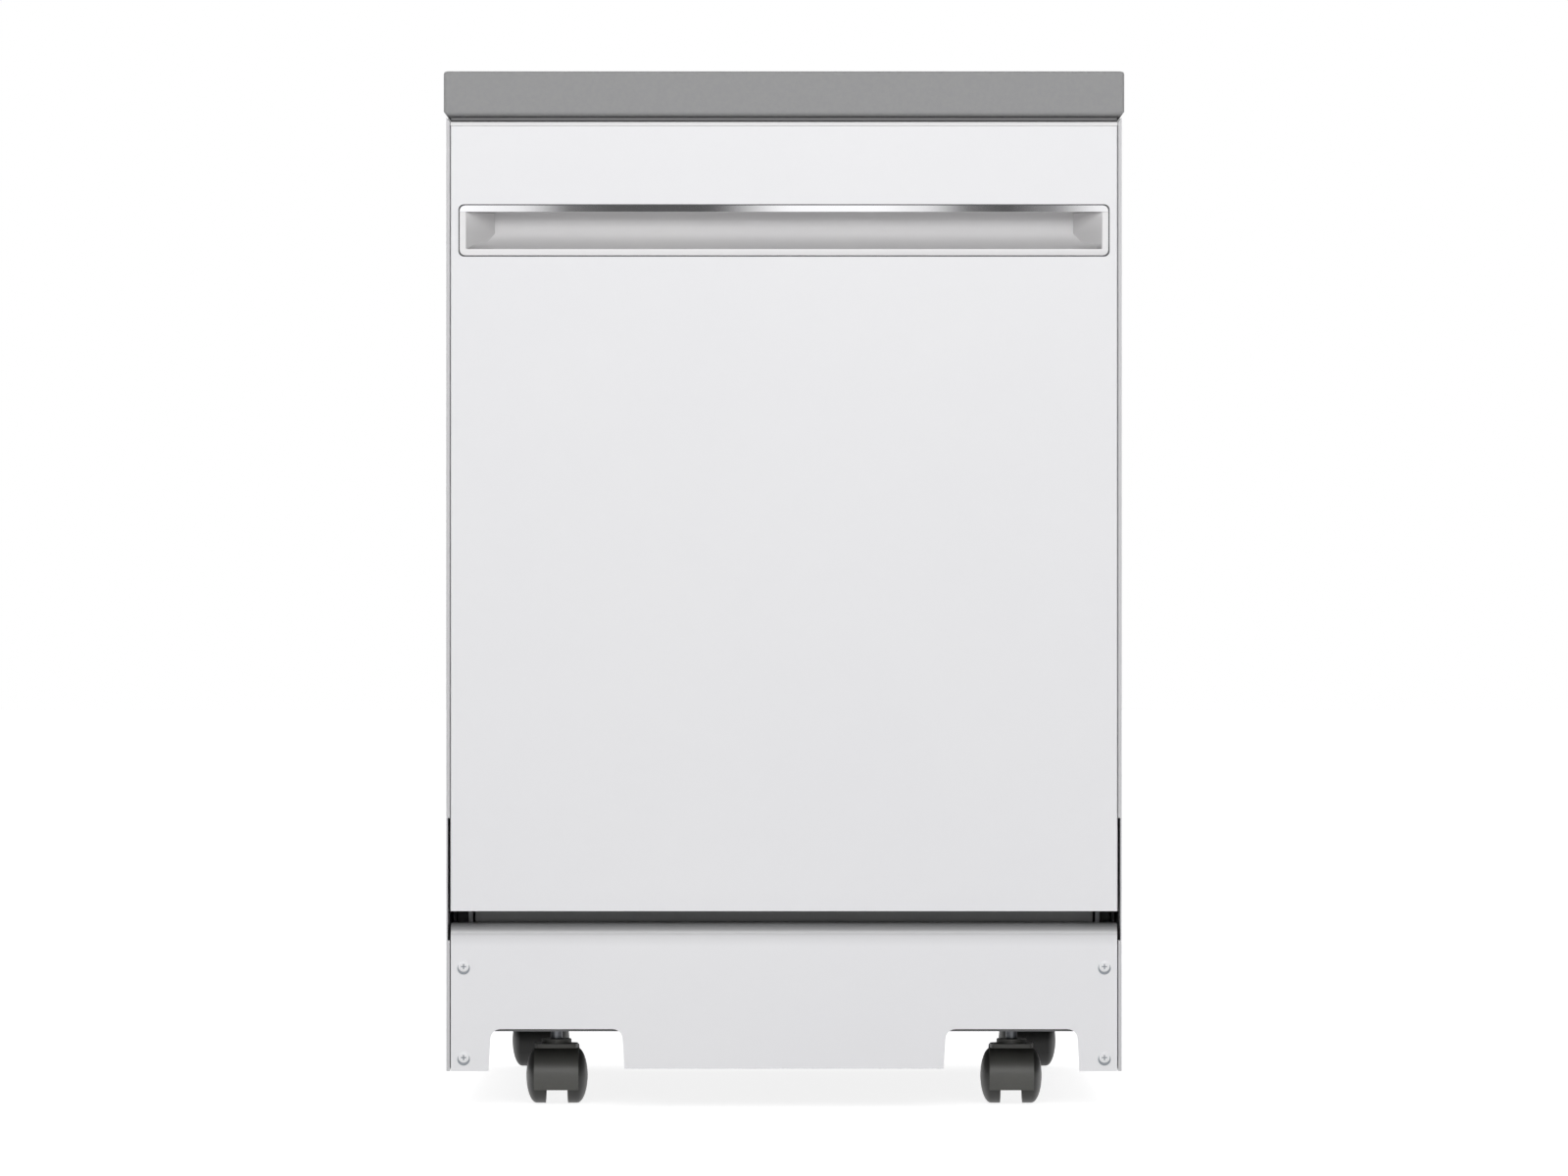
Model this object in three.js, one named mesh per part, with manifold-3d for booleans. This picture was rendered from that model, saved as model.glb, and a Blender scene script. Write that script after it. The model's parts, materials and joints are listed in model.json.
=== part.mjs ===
// A portable dishwasher on casters, built as the separate pieces it is assembled from.
// Millimetres, +Z up. The origin is on the floor under the middle of the worktop,
// +X points to the right of someone who faces the door, and the door faces -Y.
import * as THREE from "three";
import { mergeVertices } from "three/addons/utils/BufferGeometryUtils.js";
import Module from "manifold-3d";

const wasm = await Module();
wasm.setup();

// ---------------------------------------------------------------- driving dimensions
// Overall
const WIDTH = 606;
const DEPTH = 650;
const HEIGHT = 925;
const SEAT_GAP = 0.3; // between two pieces that touch
const PANEL_SHEET = 1.2; // painted steel
const LINER_SHEET = 2; // tub and inner door
const PLASTIC_WALL = 2.2;

// Worktop
const WORKTOP_FACE_HEIGHT = 36;
const WORKTOP_UNDERCUT_HEIGHT = 5;
const WORKTOP_UNDERCUT_DEPTH = 3.6;
const WORKTOP_EDGE_RADIUS = 2.5;
const WORKTOP_CORNER_RADIUS = 3;
const TOP_FRAME_SHEET = 2.7;

// Cabinet
const CABINET_SIDE_INSET = 2.25;
const CABINET_FRONT_INSET = 2;
const SIDE_PANEL_BOTTOM = 34.6;
const HEM_WIDTH = 3.1; // the side panel's folded front edge
const HEM_DEPTH = 14;
const HEM_NOTCH_BOTTOM = 151;
const HEM_NOTCH_TOP = 260;
const REAR_FLANGE_WIDTH = 16;

// Door
const DOOR_SIDE_GAP = 0.55;
const DOOR_TOP_GAP = 1;
const DOOR_BOTTOM = 177.2;
const DOOR_THICKNESS = 56;
const DOOR_RETURN = 20; // depth of the outer panel's folded edges
const HINGE_SETBACK = 18; // from the door's outer face to the hinge pins
const HINGE_HEIGHT = 188;
const HINGE_PIN_RADIUS = 4;
const CONSOLE_LIP_HEIGHT = 3.4;

// Pocket handle
const POCKET_WIDTH = 577.5;
const POCKET_TOP_DROP = 74.5; // from the door's top edge to the pocket's frame
const POCKET_HEIGHT = 44.4;
const POCKET_BORDER = 5.6;
const POCKET_CORNER_RADIUS = 5;
const POCKET_DEPTH = 30;
const POCKET_END_RUN = 24;
const POCKET_REVEAL = 0.8; // the gap round the frame in the door panel

// Kick plate
const KICK_TOP = 166;
const KICK_BEND_RADIUS = 10;
const KICK_LEDGE = 33;
const KICK_SIDE_CLEARANCE = 0.4; // how much further the kick plate stays from the hems than the door
const KICK_APRON_DEPTH = 42; // behind the arc that the door's lower edge swings through
const KICK_APRON_TOP = 183;
const KICK_CENTRE_BOTTOM = 36.8;
const CUTOUT_CENTRE_INSET = 100.4; // from the worktop's side to the middle of a caster cut-out
const CUTOUT_HALF_WIDTH = 60.8;
const CUTOUT_TAPER = 2;
const CUTOUT_TOP = 72.1;
const CUTOUT_RADIUS = 9;

// Casters
const WHEEL_RADIUS = 25;
const WHEEL_WIDTH = 17.7;
const WHEEL_SPACING = 20; // between the two wheels of a caster
const WHEEL_SIDES = 16;
const CASTER_TRAIL = 12; // from the swivel axis back to the axle
const HOOD_WIDTH = 40;
const HOOD_WALL = 2.2;
const HOOD_CLEARANCE = 1.3;
const AXLE_RADIUS = 3.3;
const STEM_RADIUS = 5;
const STEM_SIDES = 10;
const FRONT_CASTER_SIDE_INSET = 98;
const FRONT_CASTER_INSET = 80;
const REAR_CASTER_SIDE_INSET = 66.5;
const REAR_CASTER_INSET = 83;

// Base frame
const BASE_FLOOR = 70;
const BASE_SHEET = 2.5;
const REAR_PANEL_FOOT = 6; // from the base's floor up to the rear panel's bottom edge
const BASE_WALL_TOP = 150;

// Tub
const TUB_SIDE_SPACE = 30; // from the worktop's side to the tub's inner wall
const TUB_TOP_SPACE = 29;
const TUB_REAR_SPACE = 65;
const TUB_FRONT_GAP = 5; // from the inner door to the tub's front flange
const TUB_FLANGE = 19;
const GASKET_WIDTH = 15;
const TUB_TOP_RADIUS = 28;
const LEDGE_WIDTH = 35; // the track for the lower rack's wheels
const LEDGE_RISE = 16;
const ROLL_ON_STEP = 2; // the track is this much above the open door
const SUMP_RADIUS = 100;
const SUMP_SIDES = 20;

// Racks and spray arms
const WIRE = 4;
const WIRE_WELD = 0.6; // the rack wires sink this far into one another where they are welded
const RACK_TO_DOOR = 15;
const RACK_TO_REAR = 25;
const LOWER_RACK_LIFT = 40; // from the track to the lower rack's floor
const LOWER_RACK_DEPTH = 152;
const LOWER_ARM_RADIUS = 226;
const UPPER_RACK_DROP = 165; // from the tub's ceiling to the upper rack's rim
const UPPER_RACK_DEPTH = 130;
const UPPER_ARM_RADIUS = 208;
const ARM_THICKNESS = 11;
const RAIL_HEIGHT = 30;
const RAIL_FLANGE = 8.2; // from the middle of a rail's web to its flanges' edges
const RAIL_TO_GASKET = 1.2;
const ROLLER_RADIUS = 12.3;
const RACK_WHEEL_RADIUS = 18.7;

// Rear
const RECESS_HALF_WIDTH = 140;
const RECESS_BOTTOM = 250;
const RECESS_TOP = 480;
const RECESS_DEPTH = 50;
const RECESS_RADIUS = 15;

// ---------------------------------------------------------------- derived places
const halfWidth = WIDTH / 2;
const halfDepth = DEPTH / 2;
const worktopBottom = HEIGHT - WORKTOP_FACE_HEIGHT - WORKTOP_UNDERCUT_HEIGHT;
const cabinetHalf = halfWidth - CABINET_SIDE_INSET;
const cabinetFront = -halfDepth + CABINET_FRONT_INSET;
const cabinetBack = halfDepth - CABINET_FRONT_INSET;
const innerHalf = cabinetHalf - PANEL_SHEET - 2.5; // room inside the side panels
const rearPanelBack = cabinetBack - PANEL_SHEET - SEAT_GAP;
const rearPanelFront = rearPanelBack - PANEL_SHEET;
const innerBack = rearPanelFront - SEAT_GAP;

const topFrameTop = worktopBottom - SEAT_GAP;
const topFrameBottom = topFrameTop - TOP_FRAME_SHEET;
const doorTop = topFrameBottom - DOOR_TOP_GAP;
const doorHalf = cabinetHalf - HEM_WIDTH - DOOR_SIDE_GAP;
const doorFace = cabinetFront;
const doorInner = doorFace + DOOR_THICKNESS;
const hingeY = doorFace + HINGE_SETBACK;

const pocketTop = doorTop - POCKET_TOP_DROP;
const pocketBottom = pocketTop - POCKET_HEIGHT;

const openDoorLevel = HINGE_HEIGHT + DOOR_THICKNESS - HINGE_SETBACK;
const trackLevel = openDoorLevel + ROLL_ON_STEP;
const tubFloor = trackLevel - LEDGE_RISE;
const tubHalf = halfWidth - TUB_SIDE_SPACE;
const tubTop = worktopBottom - TUB_TOP_SPACE;
const tubFront = doorInner + TUB_FRONT_GAP;
const bracketInner = tubHalf + 5.5; // the hinge brackets' inner face
const tubBack = halfDepth - TUB_REAR_SPACE;

const rackFront = doorInner + RACK_TO_DOOR;
const rackBack = tubBack - RACK_TO_REAR;
const lowerRackFloor = trackLevel + LOWER_RACK_LIFT;
const lowerRackRim = lowerRackFloor + LOWER_RACK_DEPTH;
const upperRackRim = tubTop - UPPER_RACK_DROP;
const upperRackFloor = upperRackRim - UPPER_RACK_DEPTH;
const railMiddle = upperRackFloor + 51;
const railTop = railMiddle + RAIL_HEIGHT / 2;
const railBottom = railMiddle - RAIL_HEIGHT / 2;

// ---------------------------------------------------------------- solids
const toSolid = (geometry) => {
  const bare = geometry.clone();
  bare.deleteAttribute("normal");
  bare.deleteAttribute("uv");
  const merged = mergeVertices(bare, 1e-4);
  const corners = merged.index.array;
  const kept = [];
  for (let i = 0; i < corners.length; i += 3) {
    const [a, b, c] = [corners[i], corners[i + 1], corners[i + 2]];
    if (a !== b && b !== c && c !== a) kept.push(a, b, c);
  }
  const mesh = new wasm.Mesh({
    numProp: 3,
    vertProperties: new Float32Array(merged.attributes.position.array),
    triVerts: new Uint32Array(kept),
  });
  return new wasm.Manifold(mesh);
};

const toGeometry = (solid) => {
  const mesh = solid.getMesh();
  const geometry = new THREE.BufferGeometry();
  geometry.setAttribute("position", new THREE.BufferAttribute(mesh.vertProperties, 3));
  geometry.setIndex(new THREE.BufferAttribute(mesh.triVerts, 1));
  return geometry;
};

const join = (...geometries) => {
  const solids = geometries.flat().map(toSolid);
  return toGeometry(solids.slice(1).reduce((all, next) => all.add(next), solids[0]));
};

const cut = (geometry, ...tools) => {
  const solids = tools.flat().map(toSolid);
  return toGeometry(solids.reduce((left, tool) => left.subtract(tool), toSolid(geometry)));
};

const overlap = (geometry, other) => toGeometry(toSolid(geometry).intersect(toSolid(other)));

// A box between two corners.
const block = (x0, x1, y0, y1, z0, z1) => {
  const geometry = new THREE.BoxGeometry(Math.abs(x1 - x0), Math.abs(y1 - y0), Math.abs(z1 - z0));
  return geometry.translate((x0 + x1) / 2, (y0 + y1) / 2, (z0 + z1) / 2);
};

// A round bar between two places along one axis, with its middle at a place on the other two.
const bar = (axis, radius, from, to, at, sides = 16) => {
  const geometry = new THREE.CylinderGeometry(radius, radius, Math.abs(to - from), sides);
  const middle = (from + to) / 2;
  if (axis === "x") return geometry.rotateZ(-Math.PI / 2).translate(middle, at[0], at[1]);
  if (axis === "y") return geometry.translate(at[0], middle, at[1]);
  return geometry.rotateX(Math.PI / 2).translate(at[0], at[1], middle);
};

// A faceted bore that a faceted pin can turn in.
const boreRound = (pinRadius, sides) => (pinRadius + SEAT_GAP) / Math.cos(Math.PI / sides);

const outline = (points) => new THREE.Shape(points.map(([u, v]) => new THREE.Vector2(u, v)));

const roundedOutline = (u0, u1, v0, v1, radius) => {
  const shape = new THREE.Shape();
  shape.moveTo(u0 + radius, v0);
  shape.lineTo(u1 - radius, v0);
  shape.absarc(u1 - radius, v0 + radius, radius, -Math.PI / 2, 0);
  shape.lineTo(u1, v1 - radius);
  shape.absarc(u1 - radius, v1 - radius, radius, 0, Math.PI / 2);
  shape.lineTo(u0 + radius, v1);
  shape.absarc(u0 + radius, v1 - radius, radius, Math.PI / 2, Math.PI);
  shape.lineTo(u0, v0 + radius);
  shape.absarc(u0 + radius, v0 + radius, radius, Math.PI, 1.5 * Math.PI);
  return shape;
};

const extrude = (shape, length, steps = 2) =>
  new THREE.ExtrudeGeometry(shape, { depth: length, bevelEnabled: false, curveSegments: steps });

// The outline is drawn in Y and Z and runs along X.
const alongX = (shape, x0, x1, steps) => {
  const turn = new THREE.Matrix4().makeBasis(
    new THREE.Vector3(0, 1, 0),
    new THREE.Vector3(0, 0, 1),
    new THREE.Vector3(1, 0, 0),
  );
  return extrude(shape, x1 - x0, steps).applyMatrix4(turn).translate(x0, 0, 0);
};

// The outline is drawn in X and Z and runs along Y.
const alongY = (shape, y0, y1, steps) =>
  extrude(shape, y1 - y0, steps).rotateX(Math.PI / 2).translate(0, y1, 0);

// The outline is drawn in X and Y and runs up Z.
const alongZ = (shape, z0, z1, steps) => extrude(shape, z1 - z0, steps).translate(0, 0, z0);

// A profile of [radius, height] pairs turned about the Z axis. It starts and ends on the axis or closes.
const turned = (profile, sides = 24) => {
  const points = profile.map(([radius, height]) => new THREE.Vector2(radius, height));
  return new THREE.LatheGeometry(points, sides).rotateX(Math.PI / 2);
};

const turnedAlongX = (profile, sides) => turned(profile, sides).rotateY(Math.PI / 2);
const turnedAlongY = (profile, sides) => turned(profile, sides).rotateX(-Math.PI / 2);

// A solid skin over rings of points, each ring with as many points as the last.
const skin = (rings) => {
  const count = rings[0].length;
  const corners = rings.flat().flat();
  const faces = [];
  for (let r = 0; r + 1 < rings.length; r++) {
    for (let i = 0; i < count; i++) {
      const j = (i + 1) % count;
      const [a, b] = [r * count + i, r * count + j];
      faces.push(a, b, b + count, a, b + count, a + count);
    }
  }
  const last = (rings.length - 1) * count;
  for (let i = 1; i + 1 < count; i++) {
    faces.push(0, i + 1, i);
    faces.push(last, last + i, last + i + 1);
  }
  const geometry = new THREE.BufferGeometry();
  geometry.setAttribute("position", new THREE.Float32BufferAttribute(corners, 3));
  geometry.setIndex(faces);
  return geometry;
};

const mirroredX = (geometry) => {
  const other = geometry.clone().applyMatrix4(new THREE.Matrix4().makeScale(-1, 1, 1));
  const corners = other.index.array;
  for (let i = 0; i < corners.length; i += 3) {
    [corners[i + 1], corners[i + 2]] = [corners[i + 2], corners[i + 1]];
  }
  return other;
};

const spread = (from, to, count) =>
  Array.from({ length: count }, (_, i) => from + ((to - from) * i) / (count - 1));

// ---------------------------------------------------------------- finishes
const finish = (color, roughness, metalness) =>
  new THREE.MeshStandardMaterial({ color, roughness, metalness });
const FINISHES = {
  worktop: finish(0x979797, 0.55, 0),
  enamel: finish(0xeff0f2, 0.35, 0),
  whitePlastic: finish(0xe4e4e6, 0.4, 0),
  chrome: finish(0xd8d8d8, 0.12, 1),
  stainless: finish(0xb9babb, 0.35, 1),
  zinc: finish(0x9a9c9e, 0.5, 1),
  framePaint: finish(0x626263, 0.5, 0),
  caster: finish(0x3c3c3a, 0.45, 0),
  rubber: finish(0x2c2c2c, 0.8, 0),
  rack: finish(0xc9cdd2, 0.5, 0),
  greyPlastic: finish(0x8f9499, 0.5, 0),
  darkPlastic: finish(0x4a4d50, 0.5, 0),
  button: finish(0xd2d4d6, 0.45, 0),
};

const piece = (name, geometry, material) => {
  const mesh = new THREE.Mesh(geometry, FINISHES[material]);
  mesh.name = name;
  return mesh;
};

// ---------------------------------------------------------------- worktop
const rectangleRing = (halfX, halfY, radius, z) => {
  const shape = roundedOutline(-halfX, halfX, -halfY, halfY, radius);
  return shape.extractPoints(2).shape.slice(0, -1).map((point) => [point.x, point.y, z]);
};

const makeWorktop = () => {
  const ring = (inset, z) =>
    rectangleRing(halfWidth - inset, halfDepth - inset, WORKTOP_CORNER_RADIUS, z);
  const shoulder = HEIGHT - WORKTOP_EDGE_RADIUS;
  const rings = [
    ring(WORKTOP_UNDERCUT_DEPTH, worktopBottom),
    ring(0, worktopBottom + WORKTOP_UNDERCUT_HEIGHT),
    ring(0, shoulder),
  ];
  for (const turn of [Math.PI / 4, Math.PI / 2]) {
    const inset = WORKTOP_EDGE_RADIUS * (1 - Math.cos(turn));
    rings.push(ring(inset, shoulder + WORKTOP_EDGE_RADIUS * Math.sin(turn)));
  }
  return skin(rings);
};

// The frame that ties the side panels together under the worktop, with a lip turned down at its sides.
const makeTopFrame = () => {
  const front = cabinetFront + 1;
  const half = innerHalf;
  const lipDepth = 18;
  const opening = roundedOutline(-half + 50, half - 50, front + 85, innerBack - 50, 20);
  const ring = roundedOutline(-half, half, front, innerBack, 2);
  ring.holes.push(new THREE.Path(opening.extractPoints(2).shape));
  const plate = alongZ(ring, topFrameBottom, topFrameTop);
  const lips = [-1, 1].map((side) => {
    const edge = side * half;
    const inner = side * (half - TOP_FRAME_SHEET);
    return block(inner, edge, doorInner + 8, innerBack - 10, topFrameBottom - lipDepth, topFrameTop);
  });
  return join(plate, lips);
};

// ---------------------------------------------------------------- cabinet
const makeSidePanel = (side) => {
  const outer = cabinetHalf;
  const inner = outer - PANEL_SHEET;
  const hem = outer - HEM_WIDTH;
  const [front, back] = [cabinetFront, cabinetBack];
  const section = [
    [hem, front],
    [outer, front],
    [outer, back],
    [outer - REAR_FLANGE_WIDTH, back],
    [outer - REAR_FLANGE_WIDTH, back - PANEL_SHEET],
    [inner, back - PANEL_SHEET],
    [inner, front + PANEL_SHEET],
    [hem + PANEL_SHEET, front + PANEL_SHEET],
    [hem + PANEL_SHEET, front + HEM_DEPTH],
    [hem, front + HEM_DEPTH],
  ];
  const sheet = alongZ(
    outline(section.map(([x, y]) => [side * x, y])),
    SIDE_PANEL_BOTTOM,
    worktopBottom - SEAT_GAP,
  );
  const margin = 1;
  const notch = block(
    side * (hem - margin),
    side * inner,
    front - margin,
    front + HEM_DEPTH + margin,
    HEM_NOTCH_BOTTOM,
    HEM_NOTCH_TOP,
  );
  const clip = 4; // the hem's top corner is cut off at an angle
  const top = worktopBottom;
  const clippedCorner = alongY(
    outline([
      [side * (hem - margin), top - clip - margin],
      [side * (hem + clip), top + margin],
      [side * (hem - margin), top + margin],
    ]),
    front - margin,
    front + HEM_DEPTH + margin,
  );
  return cut(sheet, notch, clippedCorner);
};

const recessOutline = (grow) =>
  roundedOutline(
    -RECESS_HALF_WIDTH - grow,
    RECESS_HALF_WIDTH + grow,
    RECESS_BOTTOM - grow,
    RECESS_TOP + grow,
    RECESS_RADIUS + grow,
  );

const makeRearPanel = () => {
  const half = innerHalf;
  const bottom = BASE_FLOOR + REAR_PANEL_FOOT;
  const sheet = block(-half, half, rearPanelFront, rearPanelBack, bottom, topFrameBottom - 1);
  const window = alongY(recessOutline(0), rearPanelFront - 5, rearPanelBack + 5);
  const stiffeners = [RECESS_TOP + 90, RECESS_TOP + 210].map((z) =>
    block(-half + 60, half - 60, rearPanelFront - 4, rearPanelFront + PANEL_SHEET / 2, z, z + 24),
  );
  return cut(join(sheet, stiffeners), window);
};

// The recess in the back that hoses and cord are stored in: a moulded box, open to the rear.
const valveX = -70;
const drainX = 0;
const glandX = 80;
const recessPortY = innerBack - 27;
const VALVE_SPIGOT_RADIUS = 11;
const GLAND_RADIUS = 7;
const makeHoseCompartment = () => {
  const wall = PLASTIC_WALL;
  const front = innerBack - RECESS_DEPTH;
  const rim = 12;
  const shell = alongY(recessOutline(wall), front, innerBack);
  const flange = alongY(recessOutline(rim), innerBack - wall, innerBack);
  const hollow = alongY(recessOutline(0), front + wall, innerBack + wall);
  const box = cut(join(shell, flange), hollow);
  const floorBelow = RECESS_BOTTOM - rim - wall;
  const holes = [
    bar("z", VALVE_SPIGOT_RADIUS + SEAT_GAP, floorBelow, RECESS_BOTTOM + wall, [valveX, recessPortY], 12),
    bar("z", GLAND_RADIUS + SEAT_GAP, floorBelow, RECESS_BOTTOM + wall, [glandX, recessPortY], 12),
  ];
  const barb = [
    [0, RECESS_BOTTOM - wall],
    [9, RECESS_BOTTOM - wall],
    [9, RECESS_BOTTOM + 8],
    [11, RECESS_BOTTOM + 9],
    [9.5, RECESS_BOTTOM + 16],
    [11, RECESS_BOTTOM + 17],
    [9, RECESS_BOTTOM + 26],
    [6.5, RECESS_BOTTOM + 26],
    [6.5, RECESS_BOTTOM + 2],
    [0, RECESS_BOTTOM + 2],
  ];
  const drain = turned(barb, 10).translate(drainX, recessPortY, 0);
  return join(cut(box, holes), drain);
};

const makeInletValve = () => {
  const top = RECESS_BOTTOM - PLASTIC_WALL - SEAT_GAP;
  const spigotTop = RECESS_BOTTOM + 24;
  const body = block(valveX - 24, valveX + 24, recessPortY - 15, recessPortY + 15, top - 34, top);
  const coil = bar("z", 14, top - 62, top - 33, [valveX + 8, recessPortY]);
  const r = VALVE_SPIGOT_RADIUS;
  const spigot = [
    [0, top - 2],
    [r, top - 2],
    [r, spigotTop - 10],
    [r - 1.2, spigotTop - 8],
    [r, spigotTop - 6],
    [r - 1.2, spigotTop - 3],
    [r - 1.2, spigotTop],
    [6, spigotTop],
    [6, spigotTop - 14],
    [0, spigotTop - 14],
  ];
  return join(body, coil, turned(spigot, 12).translate(valveX, recessPortY, 0));
};

const makeCordGland = () => {
  const seat = RECESS_BOTTOM + SEAT_GAP;
  const r = GLAND_RADIUS;
  const profile = [
    [0, RECESS_BOTTOM - 12],
    [r, RECESS_BOTTOM - 12],
    [r, seat],
    [r + 5, seat],
    [r + 4, seat + 4],
    [r - 1.5, seat + 26],
    [4.2, seat + 26],
    [4.2, seat],
    [0, seat],
  ];
  return turned(profile, 12).translate(glandX, recessPortY, 0);
};

// ---------------------------------------------------------------- base
const frontCasterX = halfWidth - FRONT_CASTER_SIDE_INSET;
const frontCasterY = -halfDepth + FRONT_CASTER_INSET;
const rearCasterX = halfWidth - REAR_CASTER_SIDE_INSET;
const rearCasterY = halfDepth - REAR_CASTER_INSET;
const casterPlaces = [
  { name: "front_left", x: -frontCasterX, y: frontCasterY },
  { name: "front_right", x: frontCasterX, y: frontCasterY },
  { name: "rear_left", x: -rearCasterX, y: rearCasterY },
  { name: "rear_right", x: rearCasterX, y: rearCasterY },
];
const SOCKET_TOP = BASE_FLOOR + 34;
const SOCKET_RADIUS = 14;

const kickInnerFace = cabinetFront + PANEL_SHEET;
const makeBaseFrame = () => {
  const half = innerHalf;
  const front = kickInnerFace + SEAT_GAP;
  const back = innerBack;
  const sheet = BASE_SHEET;
  const carrierTop = trackLevel - LINER_SHEET - SEAT_GAP;
  const carrierWidth = 50;
  const carrierFront = tubFront + LINER_SHEET + 0.5;
  const legWidth = 25;
  const floor = block(-half, half, front, back, BASE_FLOOR, BASE_FLOOR + sheet);
  const frontWall = block(-half, half, front, front + sheet, BASE_FLOOR, BASE_WALL_TOP);
  const backWall = block(-half, half, back - sheet, back, BASE_FLOOR, BASE_WALL_TOP);
  const sides = [-1, 1].flatMap((side) => [
    block(side * (half - sheet), side * half, front, back, BASE_FLOOR, BASE_WALL_TOP),
    block(side * (half - sheet), side * half, carrierFront, tubBack, BASE_WALL_TOP - 1, carrierTop),
    block(side * (half - carrierWidth), side * half, carrierFront, tubBack, carrierTop - sheet, carrierTop),
    block(side * (half - legWidth), side * half, front, front + sheet, KICK_CENTRE_BOTTOM, BASE_FLOOR + 1),
    block(side * (half - sheet), side * half, front, front + 30, KICK_CENTRE_BOTTOM, BASE_FLOOR + 1),
  ]);
  const sockets = casterPlaces.map(({ x, y }) => bar("z", SOCKET_RADIUS, BASE_FLOOR, SOCKET_TOP, [x, y], 12));
  const bores = casterPlaces.map(({ x, y }) =>
    bar("z", boreRound(STEM_RADIUS, STEM_SIDES), BASE_FLOOR - 5, SOCKET_TOP + 5, [x, y], STEM_SIDES),
  );
  const lightening = [-1, 1].flatMap((side) =>
    [-120, 0, 120].map((y) => block(side * (half - sheet - 1), side * (half + 1), y - 40, y + 40, 100, 140)),
  );
  return cut(join(floor, frontWall, backWall, sides, sockets), bores, lightening);
};

const makeKickPlate = () => {
  const face = cabinetFront;
  const r = KICK_BEND_RADIUS;
  const sheet = PANEL_SHEET;
  const back = face + KICK_LEDGE;
  const returnLeg = 16;
  const section = new THREE.Shape();
  section.moveTo(face, SIDE_PANEL_BOTTOM);
  section.lineTo(face, KICK_TOP - r);
  section.absarc(face + r, KICK_TOP - r, r, Math.PI, Math.PI / 2, true);
  section.lineTo(back, KICK_TOP);
  section.lineTo(back, KICK_TOP - returnLeg);
  section.lineTo(back - sheet, KICK_TOP - returnLeg);
  section.lineTo(back - sheet, KICK_TOP - sheet);
  section.lineTo(face + r, KICK_TOP - sheet);
  section.absarc(face + r, KICK_TOP - r, r - sheet, Math.PI / 2, Math.PI);
  section.lineTo(face + sheet, SIDE_PANEL_BOTTOM);
  const half = doorHalf - KICK_SIDE_CLEARANCE;
  const plate = alongX(section, -half, half, 4);
  const below = SIDE_PANEL_BOTTOM - 5;
  const cutoutCentre = halfWidth - CUTOUT_CENTRE_INSET;
  const cutouts = [-1, 1].map((side) => {
    const [bottom, top] = [CUTOUT_HALF_WIDTH, CUTOUT_HALF_WIDTH - CUTOUT_TAPER];
    const shape = new THREE.Shape();
    shape.moveTo(-bottom, below);
    shape.lineTo(bottom, below);
    shape.lineTo(top, CUTOUT_TOP - CUTOUT_RADIUS);
    shape.absarc(top - CUTOUT_RADIUS, CUTOUT_TOP - CUTOUT_RADIUS, CUTOUT_RADIUS, 0, Math.PI / 2);
    shape.lineTo(-top + CUTOUT_RADIUS, CUTOUT_TOP);
    shape.absarc(-top + CUTOUT_RADIUS, CUTOUT_TOP - CUTOUT_RADIUS, CUTOUT_RADIUS, Math.PI / 2, Math.PI);
    return alongY(shape, face - 5, face + 5, 3).translate(side * cutoutCentre, 0, 0);
  });
  const raisedCentre = block(-cutoutCentre, cutoutCentre, face - 5, face + 5, below, KICK_CENTRE_BOTTOM);
  const apronHalf = bracketInner - 2; // between the hinge brackets
  const apronBack = face + KICK_APRON_DEPTH;
  const shelf = block(-apronHalf, apronHalf, back - sheet, apronBack, KICK_TOP - sheet, KICK_TOP);
  const apron = block(-apronHalf, apronHalf, apronBack - sheet, apronBack, KICK_TOP - sheet, KICK_APRON_TOP);
  return join(cut(plate, cutouts, raisedCentre), shelf, apron);
};

// ---------------------------------------------------------------- casters
const hoodRadius = WHEEL_RADIUS + HOOD_CLEARANCE + HOOD_WALL;
const NECK_WIDTH = 38.6;
const NECK_TOP = 2 * WHEEL_RADIUS + 4.6;
const NECK_HEIGHT = 3.7;
const COLLAR_RADIUS = 13.5;
const COLLAR_TOP = NECK_TOP + 4.2;

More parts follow.
